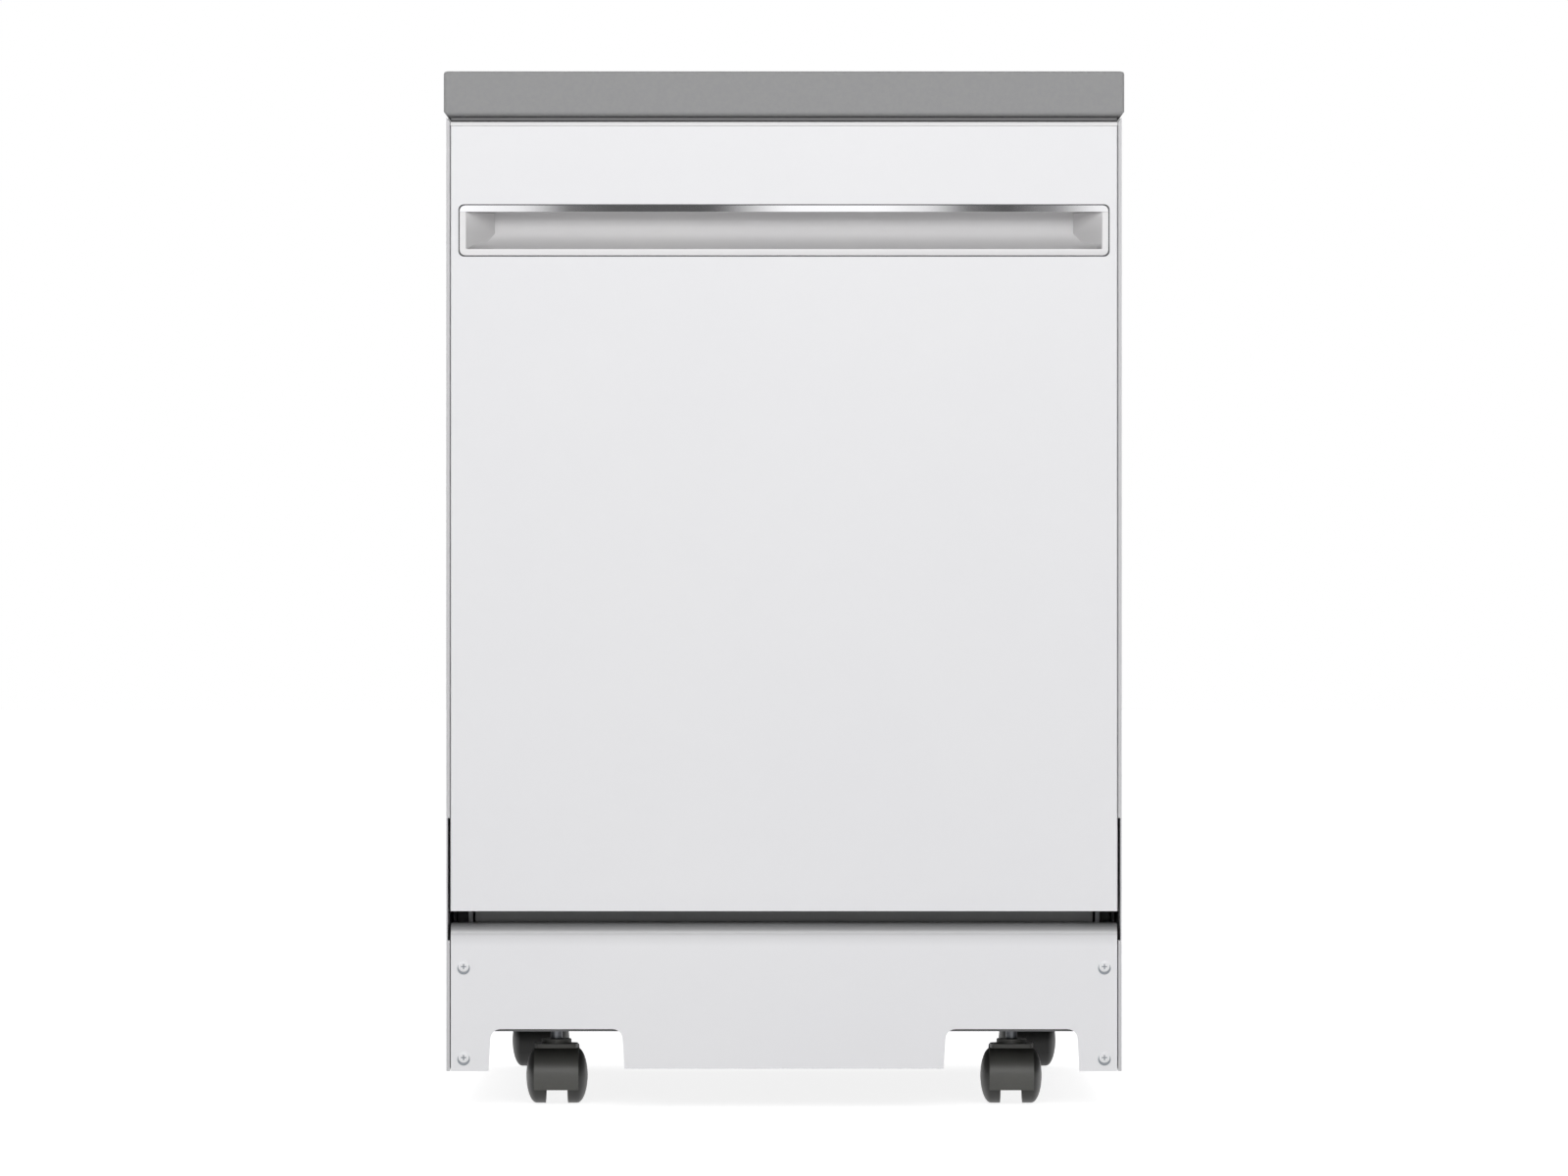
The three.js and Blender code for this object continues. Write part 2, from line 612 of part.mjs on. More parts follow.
// Drawn about its own swivel axis, with the hood's closed side to the front.
const makeCasterHood = () => {
  const inner = hoodRadius - HOOD_WALL;
  const [rearEnd, frontEnd] = [Math.PI * 0.1, Math.PI * 1.138];
  const hood = new THREE.Shape();
  hood.absarc(CASTER_TRAIL, WHEEL_RADIUS, hoodRadius, rearEnd, frontEnd);
  hood.absarc(CASTER_TRAIL, WHEEL_RADIUS, inner, frontEnd, rearEnd, true);
  const web = new THREE.Shape();
  web.moveTo(CASTER_TRAIL + 4, WHEEL_RADIUS - 8);
  web.absarc(CASTER_TRAIL, WHEEL_RADIUS, inner + 1, Math.PI * 0.25, Math.PI * 0.95);
  web.lineTo(CASTER_TRAIL - 6, WHEEL_RADIUS - 8);
  const webHalf = WHEEL_SPACING / 2 - 2;
  const neckDepth = 30;
  const neck = roundedOutline(-NECK_WIDTH / 2, NECK_WIDTH / 2, -neckDepth / 2, neckDepth / 2, 6);
  const axleHalf = WHEEL_SPACING / 2 + WHEEL_WIDTH * 0.62;
  const axleAt = [CASTER_TRAIL, WHEEL_RADIUS];
  const hubHalf = WHEEL_SPACING / 2 - SEAT_GAP;
  return join(
    alongX(hood, -HOOD_WIDTH / 2, HOOD_WIDTH / 2, 6),
    alongX(web, -webHalf, webHalf, 2),
    bar("x", 8, -hubHalf, hubHalf, axleAt, 8),
    bar("x", AXLE_RADIUS, -axleHalf, axleHalf, axleAt, 8),
    alongZ(neck, NECK_TOP - NECK_HEIGHT, NECK_TOP, 1),
    bar("z", COLLAR_RADIUS, NECK_TOP - 1, COLLAR_TOP, [0, 0], 12),
    bar("z", STEM_RADIUS, COLLAR_TOP - 1, SOCKET_TOP - 2, [0, 0], STEM_SIDES),
  );
};

// Drawn with its inner face at x = 0 and its domed outer face towards +X. A flat of its tread is
// on the floor.
const makeCasterWheel = () => {
  const tread = WHEEL_RADIUS / Math.cos(Math.PI / WHEEL_SIDES);
  const bore = boreRound(AXLE_RADIUS, WHEEL_SIDES);
  const boreDepth = WHEEL_WIDTH * 0.68;
  const profile = [
    [0, boreDepth],
    [bore, boreDepth],
    [bore, 0],
    [tread, 0],
    [tread, WHEEL_WIDTH * 0.64],
    [tread - 2.6, WHEEL_WIDTH * 0.88],
    [tread - 10, WHEEL_WIDTH],
    [0, WHEEL_WIDTH],
  ];
  return turnedAlongX(profile, WHEEL_SIDES).rotateX(Math.PI / WHEEL_SIDES);
};

// ---------------------------------------------------------------- tub
const tubOutline = (grow) => {
  const half = tubHalf + grow;
  const top = tubTop + grow;
  const ledge = trackLevel - grow;
  const step = tubHalf - LEDGE_WIDTH + grow;
  const floor = tubFloor - grow;
  const topRadius = TUB_TOP_RADIUS + grow;
  const lowRadius = 8 + grow;
  const shape = new THREE.Shape();
  shape.moveTo(-step, floor);
  shape.lineTo(step, floor);
  shape.lineTo(step, ledge);
  shape.lineTo(half - lowRadius, ledge);
  shape.absarc(half - lowRadius, ledge + lowRadius, lowRadius, -Math.PI / 2, 0);
  shape.lineTo(half, top - topRadius);
  shape.absarc(half - topRadius, top - topRadius, topRadius, 0, Math.PI / 2);
  shape.lineTo(-half + topRadius, top);
  shape.absarc(-half + topRadius, top - topRadius, topRadius, Math.PI / 2, Math.PI);
  shape.lineTo(-half, ledge + lowRadius);
  shape.absarc(-half + lowRadius, ledge + lowRadius, lowRadius, Math.PI, 1.5 * Math.PI);
  shape.lineTo(-step, ledge);
  return shape;
};

const sumpX = 0;
const sumpY = 20;
const railWeb = tubHalf - 10.2; // the middle of a rail's web
const tubFlangeBottom = tubFloor - 13;
const tubRollerPlaces = [tubFront + 24, tubFront + 64];
const makeTub = () => {
  const sheet = LINER_SHEET;
  const body = alongY(tubOutline(sheet), tubFront, tubBack + sheet, 3);
  const hollow = alongY(tubOutline(0), tubFront - 5, tubBack, 3);
  const flangeHalf = tubHalf + TUB_FLANGE;
  const flange = alongY(
    roundedOutline(-flangeHalf, flangeHalf, tubFlangeBottom, tubTop + TUB_FLANGE, 8),
    tubFront,
    tubFront + sheet,
  );
  const sumpHole = bar("z", SUMP_RADIUS, tubFloor - 10, tubFloor + 10, [sumpX, sumpY], SUMP_SIDES);
  const rollers = [-1, 1].flatMap((side) =>
    tubRollerPlaces.map((y) =>
      bar("x", ROLLER_RADIUS, side * (railWeb + 1.5), side * (tubHalf + 1), [y, railMiddle], 12),
    ),
  );
  return join(cut(join(body, flange), hollow, sumpHole), rollers);
};

// The rubber seal stands on the tub's flange along the sides and the top. The rails run out inside it.
const makeTubGasket = () => {
  const inner = railWeb + RAIL_FLANGE + RAIL_TO_GASKET;
  const outer = inner + GASKET_WIDTH;
  const bottom = tubFloor + 24;
  const sealTop = tubTop + 7;
  const back = tubFront - SEAT_GAP;
  const front = linerFlangeBack + SEAT_GAP;
  const below = bottom - 60; // the ring is drawn closed and its lower part is taken away
  const full = alongY(roundedOutline(-outer, outer, below, sealTop, 24), front, back);
  const hole = roundedOutline(-inner, inner, below - 30, sealTop - GASKET_WIDTH, 14);
  const opening = alongY(hole, front - 5, back + 5);
  const lowerPart = block(-outer - 5, outer + 5, front - 5, back + 5, below - 30, bottom);
  return cut(full, opening, lowerPart);
};

// The sump hangs under the tub's floor. Its middle tower carries the lower spray arm.
const towerTop = tubFloor + 26;
const PIN_RADIUS = 8;
const FILTER_DROP = 6.5; // from the tub's underside to the ledge that the filter rests on
const makeSump = () => {
  const under = tubFloor - LINER_SHEET - SEAT_GAP;
  const r = SUMP_RADIUS;
  const bowl = [
    [0, under - 106],
    [58, under - 106],
    [58, under - 72],
    [r - 6, under - 56],
    [r + 3, under - 4],
    [r + 16, under - 4],
    [r + 16, under],
    [r, under],
    [r, under - FILTER_DROP],
    [r - 4, under - FILTER_DROP],
    [r - 9, under - 54],
    [54, under - 69],
    [54, under - 102],
    [0, under - 102],
  ];
  return join(
    turned(bowl, SUMP_SIDES).translate(sumpX, sumpY, 0),
    bar("z", 14, under - 104, towerTop, [0, 0], 12),
    bar("z", PIN_RADIUS, towerTop - 1, towerTop + 14, [0, 0], 10),
  );
};

const cupX = 48;
const cupY = 42;
const CUP_RADIUS = 33.5;
const CUP_SIDES = 16;
const filterLevel = tubFloor - LINER_SHEET - FILTER_DROP;
const filterTop = filterLevel + 3;
const makeFilterPlate = () => {
  const plate = bar("z", SUMP_RADIUS - 0.5, filterLevel, filterTop, [sumpX, sumpY], SUMP_SIDES);
  const reach = [filterLevel - 2, filterTop + 2];
  return cut(
    plate,
    bar("z", boreRound(CUP_RADIUS, CUP_SIDES), ...reach, [cupX, cupY], CUP_SIDES),
    bar("z", 15, ...reach, [0, 0], 12),
  );
};

const makeFilterCup = () => {
  const bottom = filterLevel - 44;
  const seat = filterTop + SEAT_GAP;
  const profile = [
    [0, bottom],
    [CUP_RADIUS, bottom],
    [CUP_RADIUS, seat],
    [CUP_RADIUS + 4, seat],
    [CUP_RADIUS + 4, seat + 2.5],
    [CUP_RADIUS - 2, seat + 2.5],
    [CUP_RADIUS - 2, bottom + 2],
    [0, bottom + 2],
  ];
  const grip = alongX(outline([[-3, seat], [3, seat], [2, seat + 13], [-2, seat + 13]]), -33, 33);
  return join(turned(profile, CUP_SIDES), grip);
};

const pumpLevel = tubFloor - 92;
const makeWashPump = () => {
  const start = 58.6 + SEAT_GAP;
  const profile = [
    [0, start],
    [12, start],
    [12, start + 44],
    [38, start + 48],
    [44, start + 54],
    [44, start + 132],
    [22, start + 142],
    [0, start + 142],
  ];
  const footTop = pumpLevel - 30;
  const footBottom = BASE_FLOOR + BASE_SHEET + SEAT_GAP;
  const foot = block(start + 70, start + 110, sumpY - 28, sumpY + 28, footBottom, footTop);
  return join(turnedAlongX(profile, 20).translate(0, sumpY, pumpLevel), foot);
};

const makeDrainPump = () => {
  const start = -(58.6 + SEAT_GAP);
  const profile = [
    [0, 0],
    [18, 0],
    [18, 12],
    [27, 14],
    [27, 70],
    [20, 78],
    [0, 78],
  ];
  const pump = turnedAlongX(profile, 16).rotateZ(Math.PI).translate(start, sumpY, pumpLevel - 8);
  const outlet = bar("y", 8, sumpY, sumpY + 46, [start - 26, pumpLevel - 8], 12);
  return join(pump, outlet);
};

// Water goes up the back of the tub and forward under its ceiling to the top spray head.
const dockLevel = upperRackFloor - 20;
const makeWaterFeedTube = () => {
  const back = tubBack - SEAT_GAP;
  const front = back - 12;
  const top = tubTop - SEAT_GAP;
  const nozzleY = -10;
  const riser = alongZ(roundedOutline(-18, 18, front, back, 5), tubFloor + SEAT_GAP, top, 3);
  const overhead = alongY(roundedOutline(-18, 18, top - 12, top, 5), nozzleY, back - 1, 3);
  const dock = bar("y", 13, front - 6, front + 1, [0, dockLevel], 14);
  const head = [
    [0, top - 26],
    [26, top - 24],
    [30, top - 18],
    [14, top - 10],
    [0, top - 10],
  ];
  return join(riser, overhead, dock, turned(head, 14).translate(0, nozzleY, 0));
};

// A ring of heated tube on three clips, just above the tub's floor.
const ELEMENT_RADIUS = 150;
const ELEMENT_TUBE = 4;
const makeHeatingElement = () => {
  const level = tubFloor + 12;
  const section = spread(Math.PI / 4, 1.75 * Math.PI, 4).map((turn) => [
    ELEMENT_RADIUS + ELEMENT_TUBE * Math.cos(turn),
    level + ELEMENT_TUBE * Math.sin(turn),
  ]);
  const ring = turned([...section, section[0]], 24).translate(0, sumpY, 0);
  const clips = [0.25, 0.75, 1.5].map((share) => {
    const turn = share * Math.PI;
    const clip = block(ELEMENT_RADIUS - 6, ELEMENT_RADIUS + 6, -5, 5, tubFloor + SEAT_GAP, level);
    return clip.rotateZ(turn).translate(0, sumpY, 0);
  });
  return join(ring, clips);
};

const floatX = -(tubHalf - 84);
const floatY = tubFront + 62;
const makeFloat = () => {
  const bottom = tubFloor + SEAT_GAP;
  const profile = [
    [0, bottom],
    [19, bottom],
    [20, bottom + 22],
    [15, bottom + 29],
    [0, bottom + 31],
  ];
  return turned(profile, 16).translate(floatX, floatY, 0);
};

// ---------------------------------------------------------------- spray arms
// Two tapered blades with a slight sweep, on a hub with a blind bore.
const makeSprayArm = (radius, level, pinTop, boreFromBelow) => {
  const blade = new THREE.Shape();
  const [root, tip, sweep] = [26, 13, 10];
  blade.moveTo(-radius + tip, -tip - sweep);
  blade.quadraticCurveTo(-radius / 2, -root, 0, -root);
  blade.quadraticCurveTo(radius / 2, -root, radius - tip, -tip + sweep);
  blade.absarc(radius - tip, sweep, tip, -Math.PI / 2, Math.PI / 2);
  blade.quadraticCurveTo(radius / 2, root, 0, root);
  blade.quadraticCurveTo(-radius / 2, root, -radius + tip, tip - sweep);
  blade.absarc(-radius + tip, -sweep, tip, Math.PI / 2, 1.5 * Math.PI);
  const body = alongZ(blade, level, level + ARM_THICKNESS, 3);
  const [hubBottom, hubTop] = boreFromBelow ? [level - 4, level + 17] : [level - 6, level + 17];
  const hub = bar("z", 19, hubBottom, hubTop, [0, 0], 14);
  const [boreStart, boreEnd] = boreFromBelow ? [hubBottom - 5, pinTop] : [pinTop, hubTop + 5];
  const boreSides = 12;
  const bore = bar("z", boreRound(PIN_RADIUS, boreSides), boreStart, boreEnd, [0, 0], boreSides);
  return cut(join(body, hub), bore);
};

// ---------------------------------------------------------------- racks
// A bent wire in a plane of constant X or Y: up one side, along the floor and up the other side.
const bentWire = (low, high, floor, rim) => {
  const bend = 14;
  const shape = new THREE.Shape();
  shape.moveTo(low, rim);
  shape.lineTo(low, floor + bend);
  shape.absarc(low + bend, floor + bend, bend, Math.PI, 1.5 * Math.PI);
  shape.lineTo(high - bend, floor);
  shape.absarc(high - bend, floor + bend, bend, 1.5 * Math.PI, 2 * Math.PI);
  shape.lineTo(high, rim);
  shape.lineTo(high - WIRE, rim);
  shape.lineTo(high - WIRE, floor + bend);
  shape.absarc(high - bend, floor + bend, bend - WIRE, 0, -Math.PI / 2, true);
  shape.lineTo(low + bend, floor + WIRE);
  shape.absarc(low + bend, floor + bend, bend - WIRE, 1.5 * Math.PI, Math.PI, true);
  shape.lineTo(low + WIRE, rim);
  return shape;
};

const rimRing = (half, front, back, z, radius) => {
  const outer = alongZ(roundedOutline(-half, half, front, back, radius), z, z + WIRE, 3);
  const inner = roundedOutline(-half + WIRE, half - WIRE, front + WIRE, back - WIRE, radius - WIRE);
  return cut(outer, alongZ(inner, z - 1, z + WIRE + 1, 3));
};

const makeBasket = (half, front, back, floor, rim, wiresAcross, wiresAlong, middleRing) => {
  const corner = 26;
  const middle = WIRE / 2;
  const weld = WIRE_WELD;
  const end = rim - weld;
  const acrossShape = bentWire(-half + weld, half - weld, floor, end);
  const alongShape = bentWire(front + weld, back - weld, floor + weld, end);
  const across = wiresAcross.map((y) => alongY(acrossShape, y - middle, y + middle, 1));
  const along = wiresAlong.map((x) => alongX(alongShape, x - middle, x + middle, 1));
  const levels = middleRing ? [rim - WIRE, (floor + rim) / 2] : [rim - WIRE];
  const rings = levels.map((z) => rimRing(half, front, back, z, corner));
  return [...rings, ...across, ...along];
};

const tine = (x, y, floor, height) => {
  const half = WIRE * 0.4;
  return block(x - half, x + half, y - half, y + half, floor + 1, floor + height);
};

const lowerRackHalf = tubHalf - 11;
const lowerAcross = spread(rackFront + 34, rackBack - 34, 5);
const lowerAlong = spread(-lowerRackHalf + 50, lowerRackHalf - 50, 6);
const makeLowerRack = () => {
  const floor = lowerRackFloor;
  const basket = makeBasket(
    lowerRackHalf,
    rackFront,
    rackBack,
    floor,
    lowerRackRim,
    lowerAcross,
    lowerAlong,
    true,
  );
  const tineRows = lowerAlong.slice(0, 3).flatMap((x) =>
    spread(rackFront + 60, rackBack - 60, 6).map((y) => tine(x, y, floor, 70)),
  );
  const wheelLevel = trackLevel + SEAT_GAP + RACK_WHEEL_RADIUS;
  const wheelInner = tubHalf - 27;
  const wheels = [-1, 1].flatMap((side) =>
    [lowerAcross[1], lowerAcross[3]].flatMap((y) => [
      bar("x", RACK_WHEEL_RADIUS, side * wheelInner, side * (wheelInner + 11), [y, wheelLevel], 12),
      block(side * (wheelInner - 4), side * (wheelInner + 1), y - 8, y + 8, wheelLevel - 8, floor + WIRE),
    ]),
  );
  return join(basket, tineRows, wheels);
};

const upperRackHalf = tubHalf - 23;
const upperAcross = spread(rackFront + 34, rackBack - 34, 5);
const upperAlong = spread(-upperRackHalf + 46, upperRackHalf - 46, 6);
const makeUpperRack = () => {
  const floor = upperRackFloor;
  const basket = makeBasket(
    upperRackHalf,
    rackFront + 2,
    rackBack,
    floor,
    upperRackRim,
    upperAcross,
    upperAlong,
    false,
  );
  const tineRows = [upperAlong[1], upperAlong[4]].flatMap((x) =>
    spread(rackFront + 60, rackBack - 60, 6).map((y) => tine(x, y, floor, 62)),
  );
  const rollers = [-1, 1].flatMap((side) =>
    [upperAcross[3], upperAcross[4]].flatMap((y) => [
      bar("x", ROLLER_RADIUS, side * (railWeb - 8.4), side * (railWeb - 1.6), [y, railMiddle], 12),
      bar("x", 3, side * (upperRackHalf - 2), side * (railWeb - 4), [y, railMiddle], 6),
    ]),
  );
  return join(basket, tineRows, rollers);
};

// The tube that carries water from the dock at the tub's back to the upper arm.
const armPinBottom = upperRackFloor - 40;
const makeUpperFeedTube = () => {
  const top = upperRackFloor - SEAT_GAP;
  const front = -26;
  const dockEnd = tubBack - SEAT_GAP - 12 - 6 - 1.5;
  return join(
    alongY(roundedOutline(-11, 11, top - 13, top, 4), front, dockEnd - 8, 2),
    bar("y", 11, dockEnd - 12, dockEnd, [0, dockLevel], 12),
    block(-9, 9, dockEnd - 12, dockEnd - 4, dockLevel, top - 2),
    bar("z", 14, top - 16, top - 1, [0, -10], 10),
    bar("z", PIN_RADIUS, armPinBottom, top - 3, [0, -10], 10),
  );
};

// An I-shaped rail: tub rollers run in its outer channel and rack rollers in its inner one.
const makeRail = (side) => {
  const flangeHalf = RAIL_FLANGE;
  const web = 0.9;
  const lip = 1.6;
  const points = [
    [railWeb - flangeHalf, railTop],
    [railWeb + flangeHalf, railTop],
    [railWeb + flangeHalf, railTop - lip],
    [railWeb + web, railTop - lip],
    [railWeb + web, railBottom + lip],
    [railWeb + flangeHalf, railBottom + lip],
    [railWeb + flangeHalf, railBottom],
    [railWeb - flangeHalf, railBottom],
    [railWeb - flangeHalf, railBottom + lip],
    [railWeb - web, railBottom + lip],
    [railWeb - web, railTop - lip],
    [railWeb - flangeHalf, railTop - lip],
  ];
  return alongY(outline(points.map(([x, z]) => [side * x, z])), rackFront + 4, rackBack - 4);
};

const BASKET_WIDTH = 72;
const BASKET_HEIGHT = 118;
const basketRight = lowerRackHalf - WIRE - 14;
const basketLeft = basketRight - BASKET_WIDTH;
const basketFront = rackFront + 46;
const basketBack = basketFront + 240;
const basketBottom = lowerRackFloor + WIRE_WELD + WIRE + SEAT_GAP;
const makeSilverwareBasket = () => {
  const wall = 2.4;
  const top = basketBottom + BASKET_HEIGHT;
  const middle = (basketFront + basketBack) / 2;
  const sides = roundedOutline(basketLeft, basketRight, basketFront, basketBack, 8);
  const shell = alongZ(sides, basketBottom, top, 2);
  const cells = [
    [basketFront + wall, middle - wall / 2],
    [middle + wall / 2, basketBack - wall],
  ].map(([y0, y1]) =>
    alongZ(roundedOutline(basketLeft + wall, basketRight - wall, y0, y1, 6), basketBottom + wall, top + 5, 2),
  );
  const windows = spread(basketFront + 34, basketBack - 34, 4).flatMap((y) =>
    [basketBottom + 16, basketBottom + 62].map((z) =>
      block(basketLeft - 5, basketRight + 5, y - 18, y + 18, z, z + 34),
    ),
  );
  const x = (basketLeft + basketRight) / 2;
  const post = block(x - 6, x + 6, middle - wall, middle + wall, basketBottom + 1, top + 34);
  const grip = bar("y", 6, middle - 34, middle + 34, [x, top + 34], 10);
  return join(cut(shell, cells, windows), post, grip);
};

// ---------------------------------------------------------------- door
const panelBack = doorFace + DOOR_RETURN;
const panelTop = doorTop - CONSOLE_LIP_HEIGHT - SEAT_GAP;
const hingeZone = tubHalf - 3; // the inner door is notched beyond this for the hinges
const makeDoorOuterPanel = () => {
  const sheet = PANEL_SHEET;
  const r = 2;
  const [half, face, back] = [doorHalf, doorFace, panelBack];
  const section = new THREE.Shape();
  section.moveTo(-half, back);
  section.lineTo(-half, face + r);
  section.absarc(-half + r, face + r, r, Math.PI, 1.5 * Math.PI);
  section.lineTo(half - r, face);
  section.absarc(half - r, face + r, r, 1.5 * Math.PI, 2 * Math.PI);
  section.lineTo(half, back);
  section.lineTo(half - sheet, back);
  section.lineTo(half - sheet, face + r);
  section.absarc(half - r, face + r, r - sheet, 0, -Math.PI / 2, true);
  section.lineTo(-half + r, face + sheet);
  section.absarc(-half + r, face + r, r - sheet, 1.5 * Math.PI, Math.PI, true);
  section.lineTo(-half + sheet, back);
  const wrap = alongZ(section, DOOR_BOTTOM, panelTop, 3);
  const hemHalf = hingeZone - 4;
  const bottomHem = block(-hemHalf, hemHalf, face + sheet / 2, back, DOOR_BOTTOM, DOOR_BOTTOM + sheet);
  const opening = roundedOutline(
    -POCKET_WIDTH / 2 - POCKET_REVEAL,
    POCKET_WIDTH / 2 + POCKET_REVEAL,
    pocketBottom - POCKET_REVEAL,
    pocketTop + POCKET_REVEAL,
    POCKET_CORNER_RADIUS + POCKET_REVEAL,
  );
  return cut(join(wrap, bottomHem), alongY(opening, face - 5, face + 5));
};

const latchHalf = 17;
const linerTop = doorTop - 22;
const linerBottom = HINGE_HEIGHT - 2;
const linerFlangeBack = doorInner - 6; // the outer border that meets the seal
const dispenser = { left: 38, right: 172, bottom: HINGE_HEIGHT + 250, top: HINGE_HEIGHT + 346 };
const makeDoorInnerLiner = () => {
  const sheet = LINER_SHEET;
  const half = tubHalf + 16;
  const plateauHalf = tubHalf - 11;
  const [bottom, top] = [linerBottom, linerTop];
  const [plateauBottom, plateauTop] = [HINGE_HEIGHT + 12, tubTop - 19];
  const front = panelBack + 2;
  const tray = alongY(roundedOutline(-half, half, bottom, top, 4), front, linerFlangeBack);
  const trayInside = alongY(
    roundedOutline(-half + sheet, half - sheet, bottom + sheet, top - sheet, 3),
    front - 5,
    linerFlangeBack - sheet,
  );
  const plateau = alongY(
    roundedOutline(-plateauHalf, plateauHalf, plateauBottom, plateauTop, 14),
    linerFlangeBack - 4,
    doorInner,
  );
  const plateauInside = alongY(
    roundedOutline(
      -plateauHalf + sheet,
      plateauHalf - sheet,
      plateauBottom + sheet,
      plateauTop - sheet,
      12,
    ),
    linerFlangeBack - 10,
    doorInner - sheet,
  );
  const hinges = [-1, 1].map((side) =>
    block(side * hingeZone, side * (half + 5), front - 5, doorInner + 5, bottom - 5, HINGE_HEIGHT + 38),
  );
  const dispenserHole = alongY(
    roundedOutline(
      dispenser.left + 6,
      dispenser.right - 6,
      dispenser.bottom + 6,
      dispenser.top - 6,
      6,
    ),
    doorInner - 20,
    doorInner + 5,
  );
  return cut(join(tray, plateau), trayInside, plateauInside, hinges, dispenserHole);
};

const makeDoorBottomSeal = () => {
  const half = tubHalf - 18;
  const back = linerFlangeBack + SEAT_GAP;
  const low = linerBottom + 3;
  const profile = outline([
    [back, low],
    [back + 7, low + 3],
    [back + 7, low + 6],
    [back, low + 8.5],
  ]);
  return alongX(profile, -half, half);
};

// The pocket: a moulded frame with a scoop behind it that rises behind the grip strip at its top.
const pocketFrameFace = doorFace - 1;
const trimBottom = pocketTop - POCKET_BORDER;
const pocketOutline = (grow) =>
  roundedOutline(
    -POCKET_WIDTH / 2 - grow,
    POCKET_WIDTH / 2 + grow,
    pocketBottom - grow,
    pocketTop + grow,
    POCKET_CORNER_RADIUS + grow,
  );
const scoopRings = (grow) => {
  const half = POCKET_WIDTH / 2 - POCKET_BORDER;
  const low = pocketBottom + POCKET_BORDER;
  const high = trimBottom;
  const stations = 5;
  const ends = spread(0, 1, stations).map((share) => ({
    x: -half + POCKET_END_RUN * share,
    depth: POCKET_DEPTH * Math.sin((share * Math.PI) / 2) + 2,
  }));
  const all = [...ends, ...ends.slice().reverse().map(({ x, depth }) => ({ x: -x, depth }))];
  return all.map(({ x, depth }, i) => {
    const reach = depth / (POCKET_DEPTH + 2);
    const out = doorFace - 6 - grow;
    const back = doorFace + depth + grow;
    const rise = 9 * reach;
    const place = x + (i === 0 ? -grow : i === all.length - 1 ? grow : 0);
    return [
      [place, out, low - grow],
      [place, doorFace + depth * 0.25, low - grow],
      [place, doorFace + depth * 0.75 + grow, low + 7 - grow],
      [place, back, low + 17],
      [place, back, high + rise - 7],
      [place, doorFace + depth * 0.8 + grow, high + rise + grow],
      [place, doorFace + depth * 0.29 - grow, high + rise + grow],
      [place, doorFace + depth * 0.19 - grow, high + grow],
      [place, out, high + grow],
    ];
  });
};

const makeHandlePocket = () => {
  const flangeBack = doorFace + PANEL_SHEET + 2;
  const frame = alongY(pocketOutline(0), pocketFrameFace, flangeBack - 0.8);
  const flange = alongY(pocketOutline(6), doorFace + PANEL_SHEET + SEAT_GAP, flangeBack);
  const shell = overlap(
    skin(scoopRings(PLASTIC_WALL)),
    block(-doorHalf, doorHalf, doorFace + 1, doorFace + 60, pocketBottom - 30, pocketTop + 30),
  );
  const trimSeat = block(
    -POCKET_WIDTH,
    POCKET_WIDTH,
    pocketFrameFace - 5,
    pocketFrameFace + 1.3,
    trimBottom - 0.2,
    pocketTop + 5,
  );
  return cut(join(frame, flange, shell), skin(scoopRings(0)), trimSeat);
};

// The polished strip along the pocket's top edge, which follows the frame's rounded corners.
const makeHandleTrim = () =>
  overlap(
    alongY(pocketOutline(0), pocketFrameFace - 0.4, pocketFrameFace + 1),
    block(-POCKET_WIDTH, POCKET_WIDTH, pocketFrameFace - 5, pocketFrameFace + 5, trimBottom, pocketTop + 5),
  );

